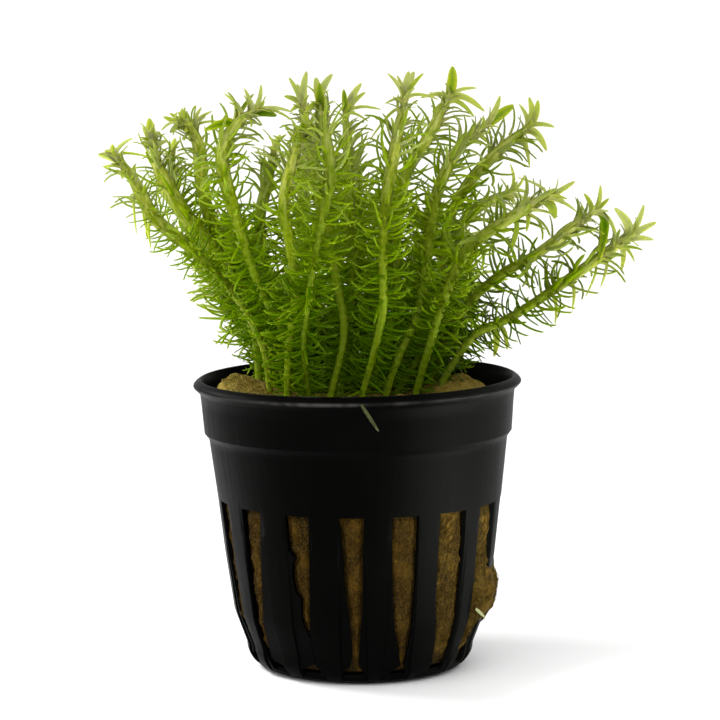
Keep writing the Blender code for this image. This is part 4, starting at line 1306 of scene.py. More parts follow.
def spread_axes(axes):
    """Moves stems that pass too close to each other apart, as in the part's source."""
    names = list(axes)
    owner = np.concatenate([np.full(len(axes[n]), i) for i, n in enumerate(names)])
    points = np.concatenate([axes[n] for n in names])
    free = np.concatenate([np.clip((np.arange(len(axes[n])) - 1.0) / 6.0, 0.0, 1.0) for n in names])
    for _ in range(SPREAD_ROUNDS):
        apart = points[:, None, :] - points[None, :, :]
        distance = np.linalg.norm(apart, axis=2)
        distance[owner[:, None] == owner[None, :]] = 1e9
        nearest = distance.argmin(axis=1)
        rows = np.arange(len(points))
        gap = distance[rows, nearest]
        push = np.clip(AXIS_CLEARANCE - gap, 0.0, None) * 0.3
        move = apart[rows, nearest] / np.maximum(gap, 1e-6)[:, None] * push[:, None]
        for i in range(len(names)):
            own = owner == i
            part = move[own]
            for _ in range(3):
                padded = np.vstack([part[:1], part, part[-1:]])
                part = (padded[:-2] + padded[1:-1] + padded[2:]) / 3.0 * 1.15
            move[own] = part
        points = points + move * free[:, None]
    return {n: points[owner == i] for i, n in enumerate(names)}


def stem_axes():
    """The middle line of every stem, from its foot in the wool to its growing tip."""
    axes = {}
    for name, points in SHOOTS.items():
        root = points[0]
        top = wool_top(root[0], root[1])
        seated = [(root[0], root[1], top - STEM_FOOT_DEPTH), (root[0], root[1], top + 0.4)]
        axes[name] = smooth_path(seated + list(points[1:]), AXIS_STEP)
    return spread_axes(axes)


def leaf_shape(name, curl, sweep, widths, keel):
    """A unit leaf along +Y: three-sided rings that curl about X and sweep sideways, pointed at its end."""
    vertices = []
    faces = []
    along = []
    y = 0.0
    z = 0.0
    before = 0.0
    for mark, width in zip(LEAF_MARKS, widths):
        step = mark - before
        angle = curl * (mark - 0.5 * step)
        y += step * math.cos(angle)
        z += step * math.sin(angle)
        before = mark
        x = sweep * mark * mark
        half = 0.5 * width
        depth = keel * (1.0 - 0.45 * mark)
        vertices += [(x - half, y, z), (x + half, y, z), (x, y + depth * math.sin(curl * mark), z - depth)]
        along += [mark] * 3
    vertices.append((sweep, y + 0.09 * math.cos(curl), z + 0.09 * math.sin(curl)))
    along.append(1.0)
    tip = len(vertices) - 1
    faces.append((0, 1, 2))
    for k in range(len(LEAF_MARKS) - 1):
        for i in range(3):
            j = (i + 1) % 3
            faces.append((3 * k + i, 3 * k + j, 3 * k + 3 + j, 3 * k + 3 + i))
    for i in range(3):
        faces.append((tip - 3 + i, tip - 3 + (i + 1) % 3, tip))
    leaf = new_piece(name, [(x / MM, y / MM, z / MM) for x, y, z in vertices], faces, [])
    store_values(leaf.data, {"along": along})
    return leaf


def leaf_collection():
    """Leaves of different curls for the tree to choose from: thin grown ones, then young ones."""
    collection = bpy.data.collections.new("leaf_shapes")
    bpy.context.scene.collection.children.link(collection)
    for family, curls in LEAF_CURLS.items():
        for k, (curl, sweep) in enumerate(curls):
            leaf = leaf_shape(f"leaf_{family}_{k}", curl, sweep, LEAF_WIDTHS[family], LEAF_KEELS[family])
            bpy.context.scene.collection.objects.unlink(leaf)
            collection.objects.link(leaf)
    return collection


class Blades:
    """Collects broad leaves that each go from a place on a stem to an end of their own."""

    def __init__(self):
        self.vertices = []
        self.faces = []
        self.along = []
        self.tone = []

    def add(self, base, end, rise, width, tone, fold=0.25, face=None):
        """A closed leaf with a blunt end, folded along its middle.

        rise is the way in which it leaves the stem, and face the way that its upper side looks.
        """
        base, end, rise = (np.array(v, float) for v in (base, end, rise))
        reach = np.linalg.norm(end - base)
        middle = base + unit(rise) * 0.45 * reach
        shares = OVAL_LEAF if tone < OVAL_TONE else POINTED_LEAF
        straight = unit(end - base)
        if face is None:
            face = unit(rise) - straight * np.dot(unit(rise), straight)
            if np.linalg.norm(face) < 0.15:
                face = np.cross(straight, (0.3, 1.0, 0.2))
        face = unit(np.array(face, float))
        first = len(self.vertices)
        for mark, share in zip(BLADE_MARKS, shares):
            centre = (1 - mark) ** 2 * base + 2 * mark * (1 - mark) * middle + mark**2 * end
            forward = unit(2 * (1 - mark) * (middle - base) + 2 * mark * (end - middle))
            side = unit(np.cross(forward, face))
            up = np.cross(side, forward)
            half = 0.5 * width * share
            sink = fold * width * (1.0 - 0.6 * mark)
            thin = BLADE_THICKNESS * (1.0 - 0.55 * mark)
            top = centre + up * (0.3 * thin - sink)
            bottom = centre - up * (thin + sink)
            for point in (centre - side * half, top, centre + side * half, bottom):
                self.vertices.append(tuple(point))
                self.along.append(mark)
                self.tone.append(tone)
        self.vertices.append(tuple(end))
        self.along.append(1.0)
        self.tone.append(tone)
        tip = len(self.vertices) - 1
        self.faces.append((first, first + 1, first + 2, first + 3))
        for low in range(first, tip - 4, 4):
            for i in range(4):
                j = (i + 1) % 4
                self.faces.append((low + i, low + j, low + 4 + j, low + 4 + i))
        for i in range(4):
            self.faces.append((tip - 4 + i, tip - 4 + (i + 1) % 4, tip))

    def piece(self, name, age, materials, shaded=0.0):
        blades = new_piece(name, self.vertices, self.faces, materials)
        count = len(self.along)
        values = {"along": self.along, "tone": self.tone, "age": [age] * count, "shaded": [shaded] * count}
        store_values(blades.data, values)
        return blades


def place_behind(path, along, back):
    """The place and the way forward at a distance behind the growing tip."""
    mark = max(0.0, along[-1] - back)
    place = np.array([np.interp(mark, along, path[:, k]) for k in range(3)])
    ahead = np.array([np.interp(min(along[-1], mark + 1.0), along, path[:, k]) for k in range(3)])
    behind = np.array([np.interp(max(0.0, mark - 1.0), along, path[:, k]) for k in range(3)])
    return place, unit(ahead - behind)


def traced_blades(blades, name, path, along, random):
    """The broad leaves round a growing tip that are placed one by one."""
    for back, end, width, tone in TIP_LEAVES.get(name, ()):
        place, forward = place_behind(path, along, back)
        face = (random.uniform(-0.35, 0.35), -1.0, random.uniform(-0.1, 0.5))
        rise = forward + 0.35 * unit(np.array(end) - place)
        wide = width if tone < OVAL_TONE else width * TRACED_WIDTH
        blades.add(place, end, rise, wide, tone, 0.16, face)


def tip_blades(name, path, settings):
    """The broad leaves round a growing tip: traced ones where there are any, and a rosette."""
    blades = Blades()
    along = lengths_along(path)
    random = np.random.default_rng(settings.seed + sum(map(ord, name)))
    traced_blades(blades, name, path, along, random)
    count, shorter = (7, 0.7) if name in TIP_LEAVES else (8, 1.0)
    for k in range(count):
        back = 0.5 * k * random.uniform(0.6, 1.0)
        place, forward = place_behind(path, along, back)
        turn = GOLDEN_TURN * k + random.uniform(-0.3, 0.3)
        across = unit(np.cross(forward, (0.0, 1.0, 0.12)))
        other = np.cross(forward, across)
        radial = across * math.cos(turn) + other * math.sin(turn)
        opening = math.radians(random.uniform(22.0, 40.0) + 7.0 * k)
        reach = settings.tip_leaf_length / MM * random.uniform(0.75, 1.0) * shorter
        end = place + (forward * math.cos(opening) + radial * math.sin(opening)) * reach
        width = settings.tip_leaf_width / MM * random.uniform(0.75, 1.1)
        blades.add(place, end, forward, width, random.uniform(0.5, 0.85))
    return blades.piece(f"blades_{name}", YOUNG_BLADE_AGE, [], TIP_SHADE * SHADES.get(name, 0.0))


def stem_profile(name, along):
    """What changes along a stem, by name, at the distances from its foot of the points of its middle line."""
    behind = along[-1] - along
    above = along - STEM_FOOT_DEPTH
    stout = STOUT_LEAVED.get(name, 1.0)
    reach = np.interp(behind, *REACH_BEHIND) * np.interp(above, *REACH_ABOVE)
    reach[(above < BARE_FOOT) | (behind < BARE_TIP)] = 0.0
    node = np.exp(-(((along % NODE_SPACING) / NODE_SPACING - 0.5) / NODE_WIDTH) ** 2)
    node *= np.interp(behind, NODE_BEHIND, (0.0, 1.0))
    thick = np.interp(behind, *THICKNESS_BEHIND)
    thick *= np.interp(behind, THIN_BEHIND, (1.0, THIN_STEMS.get(name, 1.0)))
    thick *= np.interp(behind, STOUT_BEHIND, (1.0, *(2 * [STOUT_STEMS.get(name, 1.0)]), 1.0))
    thick *= 1.0 + NODE_SWELL * node
    crowd = np.interp(behind, *CROWD_BEHIND) / stout
    crowd *= np.interp(behind, THINNED_BEHIND, (1.0, THINNED.get(name, 1.0)))
    bare = BARE_HEIGHTS.get(name, USUAL_BARE_HEIGHT)
    leafiness = (*LOW_BARENESS, LEAFY_STEMS.get(name, UPPER_BARENESS))
    usual_shade = BACK_STEM_SHADE if name.startswith("back") else FRONT_STEM_SHADE
    return {
        "age": np.clip(behind / OLD_BEHIND, 0.0, 1.0),
        "reach": reach * LEAF_SCALES.get(name, 1.0),
        "thick": thick,
        "pitch": np.interp(behind, PITCH_BEHIND[0], np.radians(PITCH_BEHIND[1])),
        "broad": np.interp(behind, *BREADTH_BEHIND) * stout,
        "droop": np.interp(behind, *DROOP_BEHIND),
        "crowd": crowd,
        "front": np.interp(above, (0.0, bare, bare + BARE_FADE), leafiness),
        # painted shade that turns a stem towards the dark old green
        "tone": np.full(len(along), STEM_SHADES.get(name, usual_shade)),
        "node": node,
        "pale": GLINT_FEET.get(name, 0.0) * np.interp(above, PALE_ABOVE, (1.0, 0.0)),
        "shaded": SHADES.get(name, 0.0) * np.interp(behind, SHADE_BEHIND, (TIP_SHADE, 1.0)),
        "length": along,
    }


def stem_guide(name, path):
    """The stem's middle line as an edge chain, with what changes along it stored at its points."""
    fine = smooth_path(path, 0.25)
    mesh = new_mesh(f"guide_{name}", fine, [(k, k + 1) for k in range(len(fine) - 1)], [])
    store_values(mesh, stem_profile(name, lengths_along(fine)))
    way = BARE_WAYS.get(name, (0.0, 0.0, 0.0) if name.startswith("back") else FRONT_BARE_WAY)
    attribute = mesh.attributes.new("bare_way", "FLOAT_VECTOR", "POINT")
    attribute.data.foreach_set("vector", np.tile(np.array(way, np.float32), len(fine)))
    return link_new(f"guide_{name}", mesh)


def leafy_stem_tree():
    """A stem along the guide, with thin leaves set round it by a constant turn, joined to its tip leaves."""
    tree = GeometryTree(
        "leafy_stem",
        (
            ("Leaf Shapes", "NodeSocketCollection"),
            ("Tip Leaves", "NodeSocketObject"),
            ("Leaf Spacing", "NodeSocketFloat"),
            ("Leaf Length", "NodeSocketFloat"),
            ("Leaf Width", "NodeSocketFloat"),
            ("Turn", "NodeSocketFloat"),
            ("Stem Radius", "NodeSocketFloat"),
            ("Seed", "NodeSocketInt"),
            ("Leaf Material", "NodeSocketMaterial"),
            ("Stem Material", "NodeSocketMaterial"),
        ),
    )
    given = tree.given
    curve = tree.made("GeometryNodeMeshToCurve", "Curve", Mesh=given["Geometry"])
    stem = leafy_stem_tube(tree, curve)
    leaves = leafy_stem_leaves(tree, curve)
    blades = tree.made("GeometryNodeObjectInfo", "Geometry", Object=given["Tip Leaves"])
    blades = tree.store(blades, "stem", 0.0, "POINT")
    joined = tree.joined(blades, leaves, stem)
    real = tree.made("GeometryNodeRealizeInstances", "Geometry", Geometry=joined)
    leafy = tree.made("GeometryNodeSetMaterial", "Geometry", Geometry=real, Material=given["Leaf Material"])
    is_stem = tree.compare("GREATER_THAN", tree.attribute("stem"), 0.5)
    painted = tree.made(
        "GeometryNodeSetMaterial",
        "Geometry",
        Geometry=leafy,
        Selection=is_stem,
        Material=given["Stem Material"],
    )
    tree.put(tree.result, painted)
    return tree


def leafy_stem_tube(tree, curve):
    """The stem itself, which keeps the place of each point on its round section for the material."""
    radius = tree.times(tree.attribute("thick"), tree.given["Stem Radius"])
    profile = tree.made("GeometryNodeCurvePrimitiveCircle", "Curve", Resolution=9, Radius=1.0)
    place = tree.made("GeometryNodeInputPosition", "Position")
    profile = tree.store(profile, "round", place, "POINT", "FLOAT_VECTOR")
    tube = tree.made(
        "GeometryNodeCurveToMesh", "Mesh", Curve=curve, Profile_Curve=profile, Scale=radius, Fill_Caps=True
    )
    return tree.store(tube, "stem", 1.0, "POINT")


def leaf_places(tree, radial):
    """Which places along the stem bear a leaf: fewer on its bare side and where leaves are sparse."""
    bare = tree.dot(radial, tree.attribute("bare_way", "FLOAT_VECTOR"))
    limit = tree.plus(tree.random(0.0, 0.7, 3), tree.minus(tree.attribute("front"), 0.4))
    kept = tree.compare("LESS_THAN", bare, limit)
    chosen = tree.compare("LESS_THAN", tree.random(0.0, 1.0, 8), tree.attribute("crowd"))
    grown = tree.compare("GREATER_THAN", tree.attribute("reach"), 0.05)
    return tree.both(tree.both(kept, chosen), grown)


def leaf_choice(tree):
    """The number of the leaf shape: one of the young kinds near the tip, one of the grown kinds below."""
    inputs = {4: 0, 5: LEAF_KINDS - 1, "Seed": tree.given["Seed"]}
    choice = tree.add("FunctionNodeRandomValue", {"data_type": "INT"}, inputs).outputs[2]
    limit = tree.random(YOUNG_AGE - YOUNG_AGE_SPREAD, YOUNG_AGE + YOUNG_AGE_SPREAD, 7)
    young = tree.math("LESS_THAN", tree.attribute("age"), limit)
    return tree.plus(choice, tree.times(young, float(LEAF_KINDS)))


def leafy_stem_leaves(tree, curve):
    """The thin leaves as instances, each with a length, width, tone and direction of its own."""
    given = tree.given
    inputs = {"Curve": curve, "Length": given["Leaf Spacing"]}
    spaced = tree.add("GeometryNodeResampleCurve", {"mode": "LENGTH"}, inputs).outputs["Curve"]
    forward = tree.made("GeometryNodeInputTangent", "Tangent")
    across = tree.made("GeometryNodeInputNormal", "Normal")
    other = tree.vector("CROSS_PRODUCT", forward, across)
    index = tree.made("GeometryNodeInputIndex", "Index")
    turn = tree.plus(tree.times(index, given["Turn"]), tree.random(-0.35, 0.35, 1))
    sideways = tree.scaled(across, tree.math("COSINE", turn))
    radial = tree.vector("ADD", sideways, tree.scaled(other, tree.math("SINE", turn)))

    pitch = tree.plus(tree.attribute("pitch"), tree.random(-0.28, 0.28, 2))
    level = tree.math("COSINE", pitch)
    steep = tree.math("SINE", pitch)
    away = tree.vector("ADD", tree.scaled(radial, level), tree.scaled(forward, steep))
    away = tree.vector("ADD", away, tree.upright(tree.times(tree.attribute("droop"), -1.0)))
    upper = tree.vector("SUBTRACT", tree.scaled(forward, level), tree.scaled(radial, steep))
    settings = {"primary_axis": "Y", "secondary_axis": "Z"}
    inputs = {"Primary Axis": away, "Secondary Axis": upper}
    rotation = tree.add("FunctionNodeAxesToRotation", settings, inputs).outputs["Rotation"]

    hold = tree.times(tree.times(tree.attribute("thick"), given["Stem Radius"]), FOOT_HOLD)
    spaced = tree.store(spaced, "outward", tree.scaled(radial, hold), "POINT", "FLOAT_VECTOR")
    length = tree.times(tree.attribute("reach"), given["Leaf Length"])
    length = tree.times(length, tree.random(0.72, 1.08, 4))
    length = tree.minus(length, tree.times(hold, level))
    width = tree.times(tree.attribute("broad"), given["Leaf Width"])
    width = tree.times(width, tree.random(0.75, 1.2, 5))
    shapes = tree.made(
        "GeometryNodeCollectionInfo",
        "Instances",
        Collection=given["Leaf Shapes"],
        Separate_Children=True,
        Reset_Children=True,
    )
    leaves = tree.made(
        "GeometryNodeInstanceOnPoints",
        "Instances",
        Points=spaced,
        Selection=leaf_places(tree, radial),
        Instance=shapes,
        Pick_Instance=True,
        Instance_Index=leaf_choice(tree),
        Rotation=rotation,
        Scale=tree.made("ShaderNodeCombineXYZ", "Vector", X=width, Y=length, Z=length),
    )
    leaves = tree.made(
        "GeometryNodeTranslateInstances",
        "Instances",
        Instances=leaves,
        Translation=tree.attribute("outward", "FLOAT_VECTOR"),
        Local_Space=False,
    )
    leaves = tree.store(leaves, "tone", tree.random(0.3, 0.9, 6), "INSTANCE")
    return tree.store(leaves, "stem", 0.0, "INSTANCE")


def leaf_finish(settings):
    """Soft thin leaves: pale and yellowish when young, deep green when old, each of its own tone, with
    painted light at the tips' cores and painted shade on some shoots.
    """
    finish = Finish(
        "soft_leaf",
        Subsurface_Weight=0.5,
        Subsurface_Radius=(0.75, 1.0, 0.06),
        Subsurface_Scale=0.0008,
        Specular_IOR_Level=0.012,
    )
    age = finish.value("age")
    tone = finish.value("tone")
    along = finish.value("along")
    mottle = finish.grain(420.0, 3.0, 0.6)

    aged = finish.plus(age, finish.spread(tone, 0.2, 1.0, 0.16, -0.1))
    aged = finish.plus(aged, finish.spread(mottle, 0.3, 0.7, -0.05, 0.05))
    stops = ((0.02, settings.young_colour), (0.36, settings.grown_colour), (0.85, settings.old_colour))
    colour = finish.ramp(aged, stops)
    colour = finish.mix(finish.spread(tone, 0.08, 0.3, 0.95, 0.0), colour, settings.folded_colour)
    paler = finish.times(finish.spread(tone, 0.6, 1.0, 0.0, 0.75), finish.spread(age, 0.0, 0.5, 1.0, 0.0))
    colour = finish.mix(paler, colour, settings.pale_colour)
    colour = finish.mix(finish.spread(along, 0.6, 1.0, 0.0, 0.2), colour, settings.young_colour)

    # Pale feet of young leaves: partly their own colour, partly painted light that lifts the shade in the
    # cores of the growing tips
    foot = finish.spread(along, 0.05, 0.5, 0.7, 0.0)
    foot = finish.times(foot, finish.spread(age, 0.03, 0.2, 1.0, 0.0))
    foot = finish.times(foot, finish.spread(tone, 0.3, 0.5, 0.0, 1.0))
    colour = finish.mix(foot, colour, settings.streak_colour)
    # Painted shade: the leaves of some shoots are darkened towards black
    colour = finish.mix(finish.value("shaded"), colour, BLACK)
    finish.feed("Base Color", colour)
    finish.feed("Roughness", finish.spread(mottle, 0.3, 0.7, 0.34, 0.5))
    finish.feed("Normal", finish.bump(finish.grain(2600.0, 2.0), 0.00005, 0.35))
    return finish.material


def stem_grain(finish, scale, step):
    """Noise on the stem's own round surface, which moves on by a step for each millimetre along it."""
    around_stem = finish.add("ShaderNodeAttribute", {"attribute_name": "round"}).outputs["Vector"]
    upward = finish.upright(finish.times(finish.value("length"), step))
    return finish.grain(scale, 3.0, 0.6, finish.vector("ADD", around_stem, upward))


def stem_finish(settings):
    """Juicy stems: yellow-green below, pale where young leaf feet wrap them, with painted glints on some feet
    and painted shade on some stems.
    """
    finish = Finish(
        "juicy_stem",
        Subsurface_Weight=0.3,
        Subsurface_Radius=(0.8, 1.0, 0.15),
        Subsurface_Scale=0.001,
        Specular_IOR_Level=0.025,
        Coat_Weight=0.012,
        Coat_Roughness=0.12,
    )
    age = finish.value("age")
    flecks = finish.grain(1.0, 3.0, 0.6, finish.stretched((1500.0, 1500.0, 500.0)))
    ridges = stem_grain(finish, 2.6, 0.14)
    blotches = stem_grain(finish, 2.0, 0.7)
    patches = finish.grain(260.0, 3.0, 0.6)
    stops = (
        (0.0, settings.young_colour),
        (0.06, settings.sheath_colour),
        (0.16, settings.sheath_colour),
        (0.32, settings.stem_colour),
        (0.9, settings.grown_colour),
    )
    colour = finish.ramp(finish.plus(age, finish.spread(flecks, 0.3, 0.7, -0.12, 0.12)), stops)
    colour = finish.mix(finish.spread(flecks, 0.5, 0.75, 0.0, 0.5), colour, settings.grown_colour)

    colour = finish.mix(finish.spread(blotches, 0.52, 0.64, 0.0, 0.5), colour, settings.old_colour)
    paler = finish.spread(blotches, 0.44, 0.34, 0.0, 0.45)
    paler = finish.times(paler, finish.spread(age, 0.3, 0.8, 1.0, 0.4))
    colour = finish.mix(paler, colour, settings.sheath_colour)

    young_share = finish.spread(age, 0.1, 0.42, 1.0, 0.1)
    darker = finish.times(finish.spread(ridges, 0.58, 0.7, 0.0, 0.6), young_share)
    colour = finish.mix(darker, colour, settings.old_colour)
    paler = finish.times(finish.spread(ridges, 0.53, 0.4, 0.0, 0.9), young_share)
    colour = finish.mix(paler, colour, settings.streak_colour)
    colour = finish.mix(finish.spread(patches, 0.45, 0.65, 0.0, 0.35), colour, settings.grown_colour)

    # Painted shade: some stems, most of all those at the back, turn towards the dark old green
    colour = finish.mix(finish.value("tone"), colour, settings.old_colour)
    colour = finish.mix(finish.times(finish.value("node"), 0.2), colour, settings.sheath_colour)
    # Painted glints: pale beads on the foot of some stems in place of their wet highlights
    painted_glints = finish.times(finish.value("pale"), finish.spread(flecks, 0.56, 0.46, 0.0, 1.0))
    colour = finish.mix(painted_glints, colour, settings.sheath_colour)
    # Painted shade: some stems are darkened towards black
    colour = finish.mix(finish.value("shaded"), colour, BLACK)
    finish.feed("Base Color", colour)
    finish.feed("Roughness", finish.spread(flecks, 0.3, 0.7, 0.25, 0.45))
    grooves = finish.bump(ridges, 0.0003, 0.7)
    finish.feed("Normal", finish.bump(flecks, 0.00015, 0.5, grooves))
    return finish.material


def shed_finish(settings):
    """A wilted leaf: olive with paler patches."""
    finish = Finish("wilted_leaf", Roughness=0.45, Specular_IOR_Level=0.05)
    patches = finish.grain(900.0, 3.0, 0.6)
    colour = finish.mix(finish.value("tone"), settings.wilted_colour, settings.pale_colour)
    colour = finish.mix(finish.spread(patches, 0.4, 0.65, 0.0, 0.1), colour, settings.pale_colour)
    finish.feed("Base Color", colour)
    finish.feed("Normal", finish.bump(patches, 0.00005, 0.4))
    return finish.material


# Stage


def floor_finish(colour):
    finish = Finish("pale_floor", Roughness=0.7)
    speckle = finish.spread(finish.grain(3.0, 2.0), 0.3, 0.7, 0.0, 0.02)
    finish.feed("Base Color", finish.mix(speckle, colour, tint(235, 235, 235)))
    return finish.material


def aim(light, place, target):
    """Turns a light at a place towards a target."""
    light.rotation_euler = (Vector(target) - Vector(place)).to_track_quat("-Z", "Y").to_euler()


def new_light(name, kind, power):
    """A light of a kind, whose own places and sizes are set by the caller."""
    data = bpy.data.lights.new(name, kind)
    data.energy = power
    return link_new(name, data)


def add_disk_light(name, place, target, size, power):
    """A round area light that points at a target."""
    light = new_light(name, "AREA", power)
    light.data.shape = "DISK"
    light.data.size = size
    light.location = place
    aim(light, place, target)


def add_spot(name, place, cone, power):
    """A soft-edged lamp that points straight down."""
    light = new_light(name, "SPOT", power)
    light.data.spot_size = math.radians(cone)
    light.data.spot_blend = 0.6
    light.data.shadow_soft_size = 0.02
    light.location = place


def add_sun(name, place, spread, strength):
    """A wide soft sun that shines from a direction."""
    light = new_light(name, "SUN", strength)
    light.data.angle = math.radians(spread)
    aim(light, place, (0.0, 0.0, 0.0))


def add_camera(settings):
    data = bpy.data.cameras.new("photo_camera")
    data.sensor_width = 36.0
    data.lens = settings.lens
    data.clip_start = 0.01
    data.clip_end = 100.0
    camera = link_new("photo_camera", data)
    camera.location = (CAMERA_SHIFT, -settings.camera_distance, settings.camera_height)
    camera.rotation_mode = "XYZ"
    camera.rotation_euler = (0.5 * math.pi - settings.camera_pitch, settings.camera_roll, 0.0)
    bpy.context.scene.camera = camera


# Settings


def length_setting(name, description, default):
    return bpy.props.FloatProperty(
        name=name, description=description, default=default, min=0.0, unit="LENGTH", precision=5
    )


def count_setting(name, description, default):
    return bpy.props.IntProperty(name=name, description=description, default=default, min=0)


def strength_setting(name, description, default):
    return bpy.props.FloatProperty(name=name, description=description, default=default, min=0.0)


def turn_setting(name, description, default):
    return bpy.props.FloatProperty(name=name, description=description, default=default, unit="ROTATION")


def colour_setting(name, description, *screen_values):
    """A colour given by its 0 to 255 screen values."""
    colour = tint(*screen_values)
    return bpy.props.FloatVectorProperty(
        name=name, description=description, default=colour, size=4, min=0.0, max=1.0, subtype="COLOR"
    )


class BogmossPotSettings(bpy.types.PropertyGroup):
    wall: length_setting("Wall", "Thickness of the pot's wall", POT_WALL * MM)
    flange_recess: length_setting("Flange Recess", "How much deeper the ribs' side flanges lie", 0.0004)
    colour: colour_setting("Plastic", "Colour of the black plastic", 1, 1, 1)
    worn_colour: colour_setting("Dusty Plastic", "Colour where the plastic is scuffed or dusty", 3, 3, 3)
    # The colour of the sheen painted on the pot's right side
    side_sheen_colour: colour_setting("Dust", "Colour of the pot's dusty side", 16, 17, 15)
    # The colour of the highlight painted along the lip
    lip_highlight_colour: colour_setting("Rubbed Edge", "Colour of the lip's rubbed edges", 74, 72, 68)


class BogmossWoolSettings(bpy.types.PropertyGroup):
    top_fibres: count_setting("Top Fibres", "Loose fibres on top", 1500)
    side_fibres: count_setting("Side Fibres", "Loose fibres in the slots", 2400)
    fibre_radius: length_setting("Fibre Radius", "Radius of a loose fibre", 0.00007)
    seed: count_setting("Seed", "Seed of the fibres' places", 7)
    # The slot colours below are of moist wool, darkened with painted shade
    colour: colour_setting("Damp Wool", "Main colour in the slots", 32, 23, 2)
    dark_colour: colour_setting("Wet Wool", "Colour of the darkest patches in the slots", 17, 12, 1)
    light_colour: colour_setting("Damp Fibre", "Colour of fibres in the slots", 88, 64, 15)
    top_colour: colour_setting("Dry Wool", "Main colour on top", 118, 98, 18)
    dark_top_colour: colour_setting("Shaded Wool", "Colour of dark patches on top", 74, 54, 6)
    fibre_colour: colour_setting("Dry Fibre", "Colour of loose fibres on top", 168, 148, 74)
    pore_colour: colour_setting("Pore", "Colour of the pores between the fibres", 17, 11, 1)


class BogmossLeafSettings(bpy.types.PropertyGroup):
    leaf_spacing: length_setting("Leaf Spacing", "Distance along the stem from leaf to leaf", 0.000115)
    leaf_length: length_setting("Leaf Length", "Length of a grown leaf", 0.0058)
    leaf_width: length_setting("Leaf Width", "Width of a grown leaf", 0.00049)
    tip_leaf_length: length_setting("Tip Leaf Length", "Length of the broad leaves at a growing tip", 0.0052)
    tip_leaf_width: length_setting("Tip Leaf Width", "Width of the broad leaves at a growing tip", 0.0011)
    stem_radius: length_setting("Stem Radius", "Radius of a bare stem", 0.00050)
    turn: turn_setting("Turn", "Turn from leaf to leaf round the stem", GOLDEN_TURN)
    seed: count_setting("Seed", "Seed of the leaves' variation", 11)
    pale_colour: colour_setting("Pale Leaf", "Colour of the palest leaves at the growing tips", 153, 158, 112)
    young_colour: colour_setting("Young Leaf", "Colour at the growing tips", 134, 145, 62)
    grown_colour: colour_setting("Grown Leaf", "Colour of grown leaves", 113, 138, 2)
    old_colour: colour_setting("Old Leaf", "Colour of the oldest leaves, low in the bunch", 71, 106, 0)
    folded_colour: colour_setting("Folded Leaf", "Colour of dark folded leaves", 52, 78, 0)
    sheath_colour: colour_setting("Sheath", "Colour of young stems wrapped in leaf feet", 172, 178, 62)
    stem_colour: colour_setting("Stem", "Colour of bare stems", 124, 139, 2)
    streak_colour: colour_setting("Pale Streak", "Colour of pale streaks on young stems", 198, 199, 116)
    wilted_colour: colour_setting("Wilted Leaf", "Colour of the shed leaves", 42, 44, 20)


class BogmossStageSettings(bpy.types.PropertyGroup):
    lens: bpy.props.FloatProperty(
        name="Lens", description="Focal length", default=153.25, unit="CAMERA", subtype="DISTANCE_CAMERA"
    )
    camera_distance: length_setting("Camera Distance", "How far in front of the pot the camera stands", 0.515)
    camera_height: length_setting("Camera Height", "Height of the camera above the floor", 0.116)
    camera_pitch: turn_setting("Camera Pitch", "How far the camera looks down", 0.1231)
    camera_roll: turn_setting("Camera Roll", "Tilt of the picture", 0.005)
    floor_colour: colour_setting("Floor", "Colour of the floor", 250, 250, 250)
    world_strength: strength_setting("Sky", "Strength of the even light", 0.93)
    sun_strength: strength_setting("Sun", "Strength of the soft sun", 1.75)


# Operators


class BOGMOSS_OT_stage(bpy.types.Operator):
    """Make the floor, the lights and the camera"""

    bl_idname = "bogmoss.stage"
    bl_label = "Stage"

    def execute(self, context):
        settings = context.scene.bogmoss_stage
        corners = ((-1, -1), (1, -1), (1, 1), (-1, 1))
        vertices = [(x * FLOOR_REACH, y * FLOOR_REACH, 0.0) for x, y in corners]
        floor = new_piece("floor", vertices, [(0, 1, 2, 3)], [floor_finish(settings.floor_colour)])
        add_sun("sky_light", SUN_WAY, SUN_SPREAD, settings.sun_strength)
        add_disk_light("left_light", LEFT_LIGHT, LEFT_TARGET, LEFT_LIGHT_SIZE, LEFT_POWER)
        add_spot("right_light", RIGHT_LIGHT, RIGHT_CONE, RIGHT_POWER)
        world = bpy.data.worlds.new("even_light")
        world.use_nodes = True
        background = world.node_tree.nodes["Background"]
        background.inputs["Color"].default_value = WHITE
        background.inputs["Strength"].default_value = settings.world_strength
        context.scene.world = world
        context.scene.view_settings.view_transform = "Standard"
        add_camera(settings)
        return {"FINISHED"}


class BOGMOSS_OT_pot(bpy.types.Operator):
    """Make the black net pot with its ribs, slots and lip"""

    bl_idname = "bogmoss.pot"
    bl_label = "Net Pot"

    def execute(self, context):
        settings = context.scene.bogmoss_pot
        pot = PotWall(settings).build(pot_finish(settings))
        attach(pot, "root")
        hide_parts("pot")
        return {"FINISHED"}


class BOGMOSS_OT_wool(bpy.types.Operator):
    """Make the plug of rock wool with its loose fibres"""

    bl_idname = "bogmoss.wool"
    bl_label = "Rock Wool"

    def execute(self, context):
        settings = context.scene.bogmoss_wool
        body = new_piece("wool_body", *wool_base(), [])
        tree = fibre_tree()
        values = {
            "Body": body,
            "Fibre Radius": settings.fibre_radius,
            "Material": wool_finish(settings),
        }
        wool = tree.apply(fibre_guide(settings), "wool_plug", values)
        drop(body)
        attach(wool, "root")
        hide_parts("rock_wool")
        return {"FINISHED"}


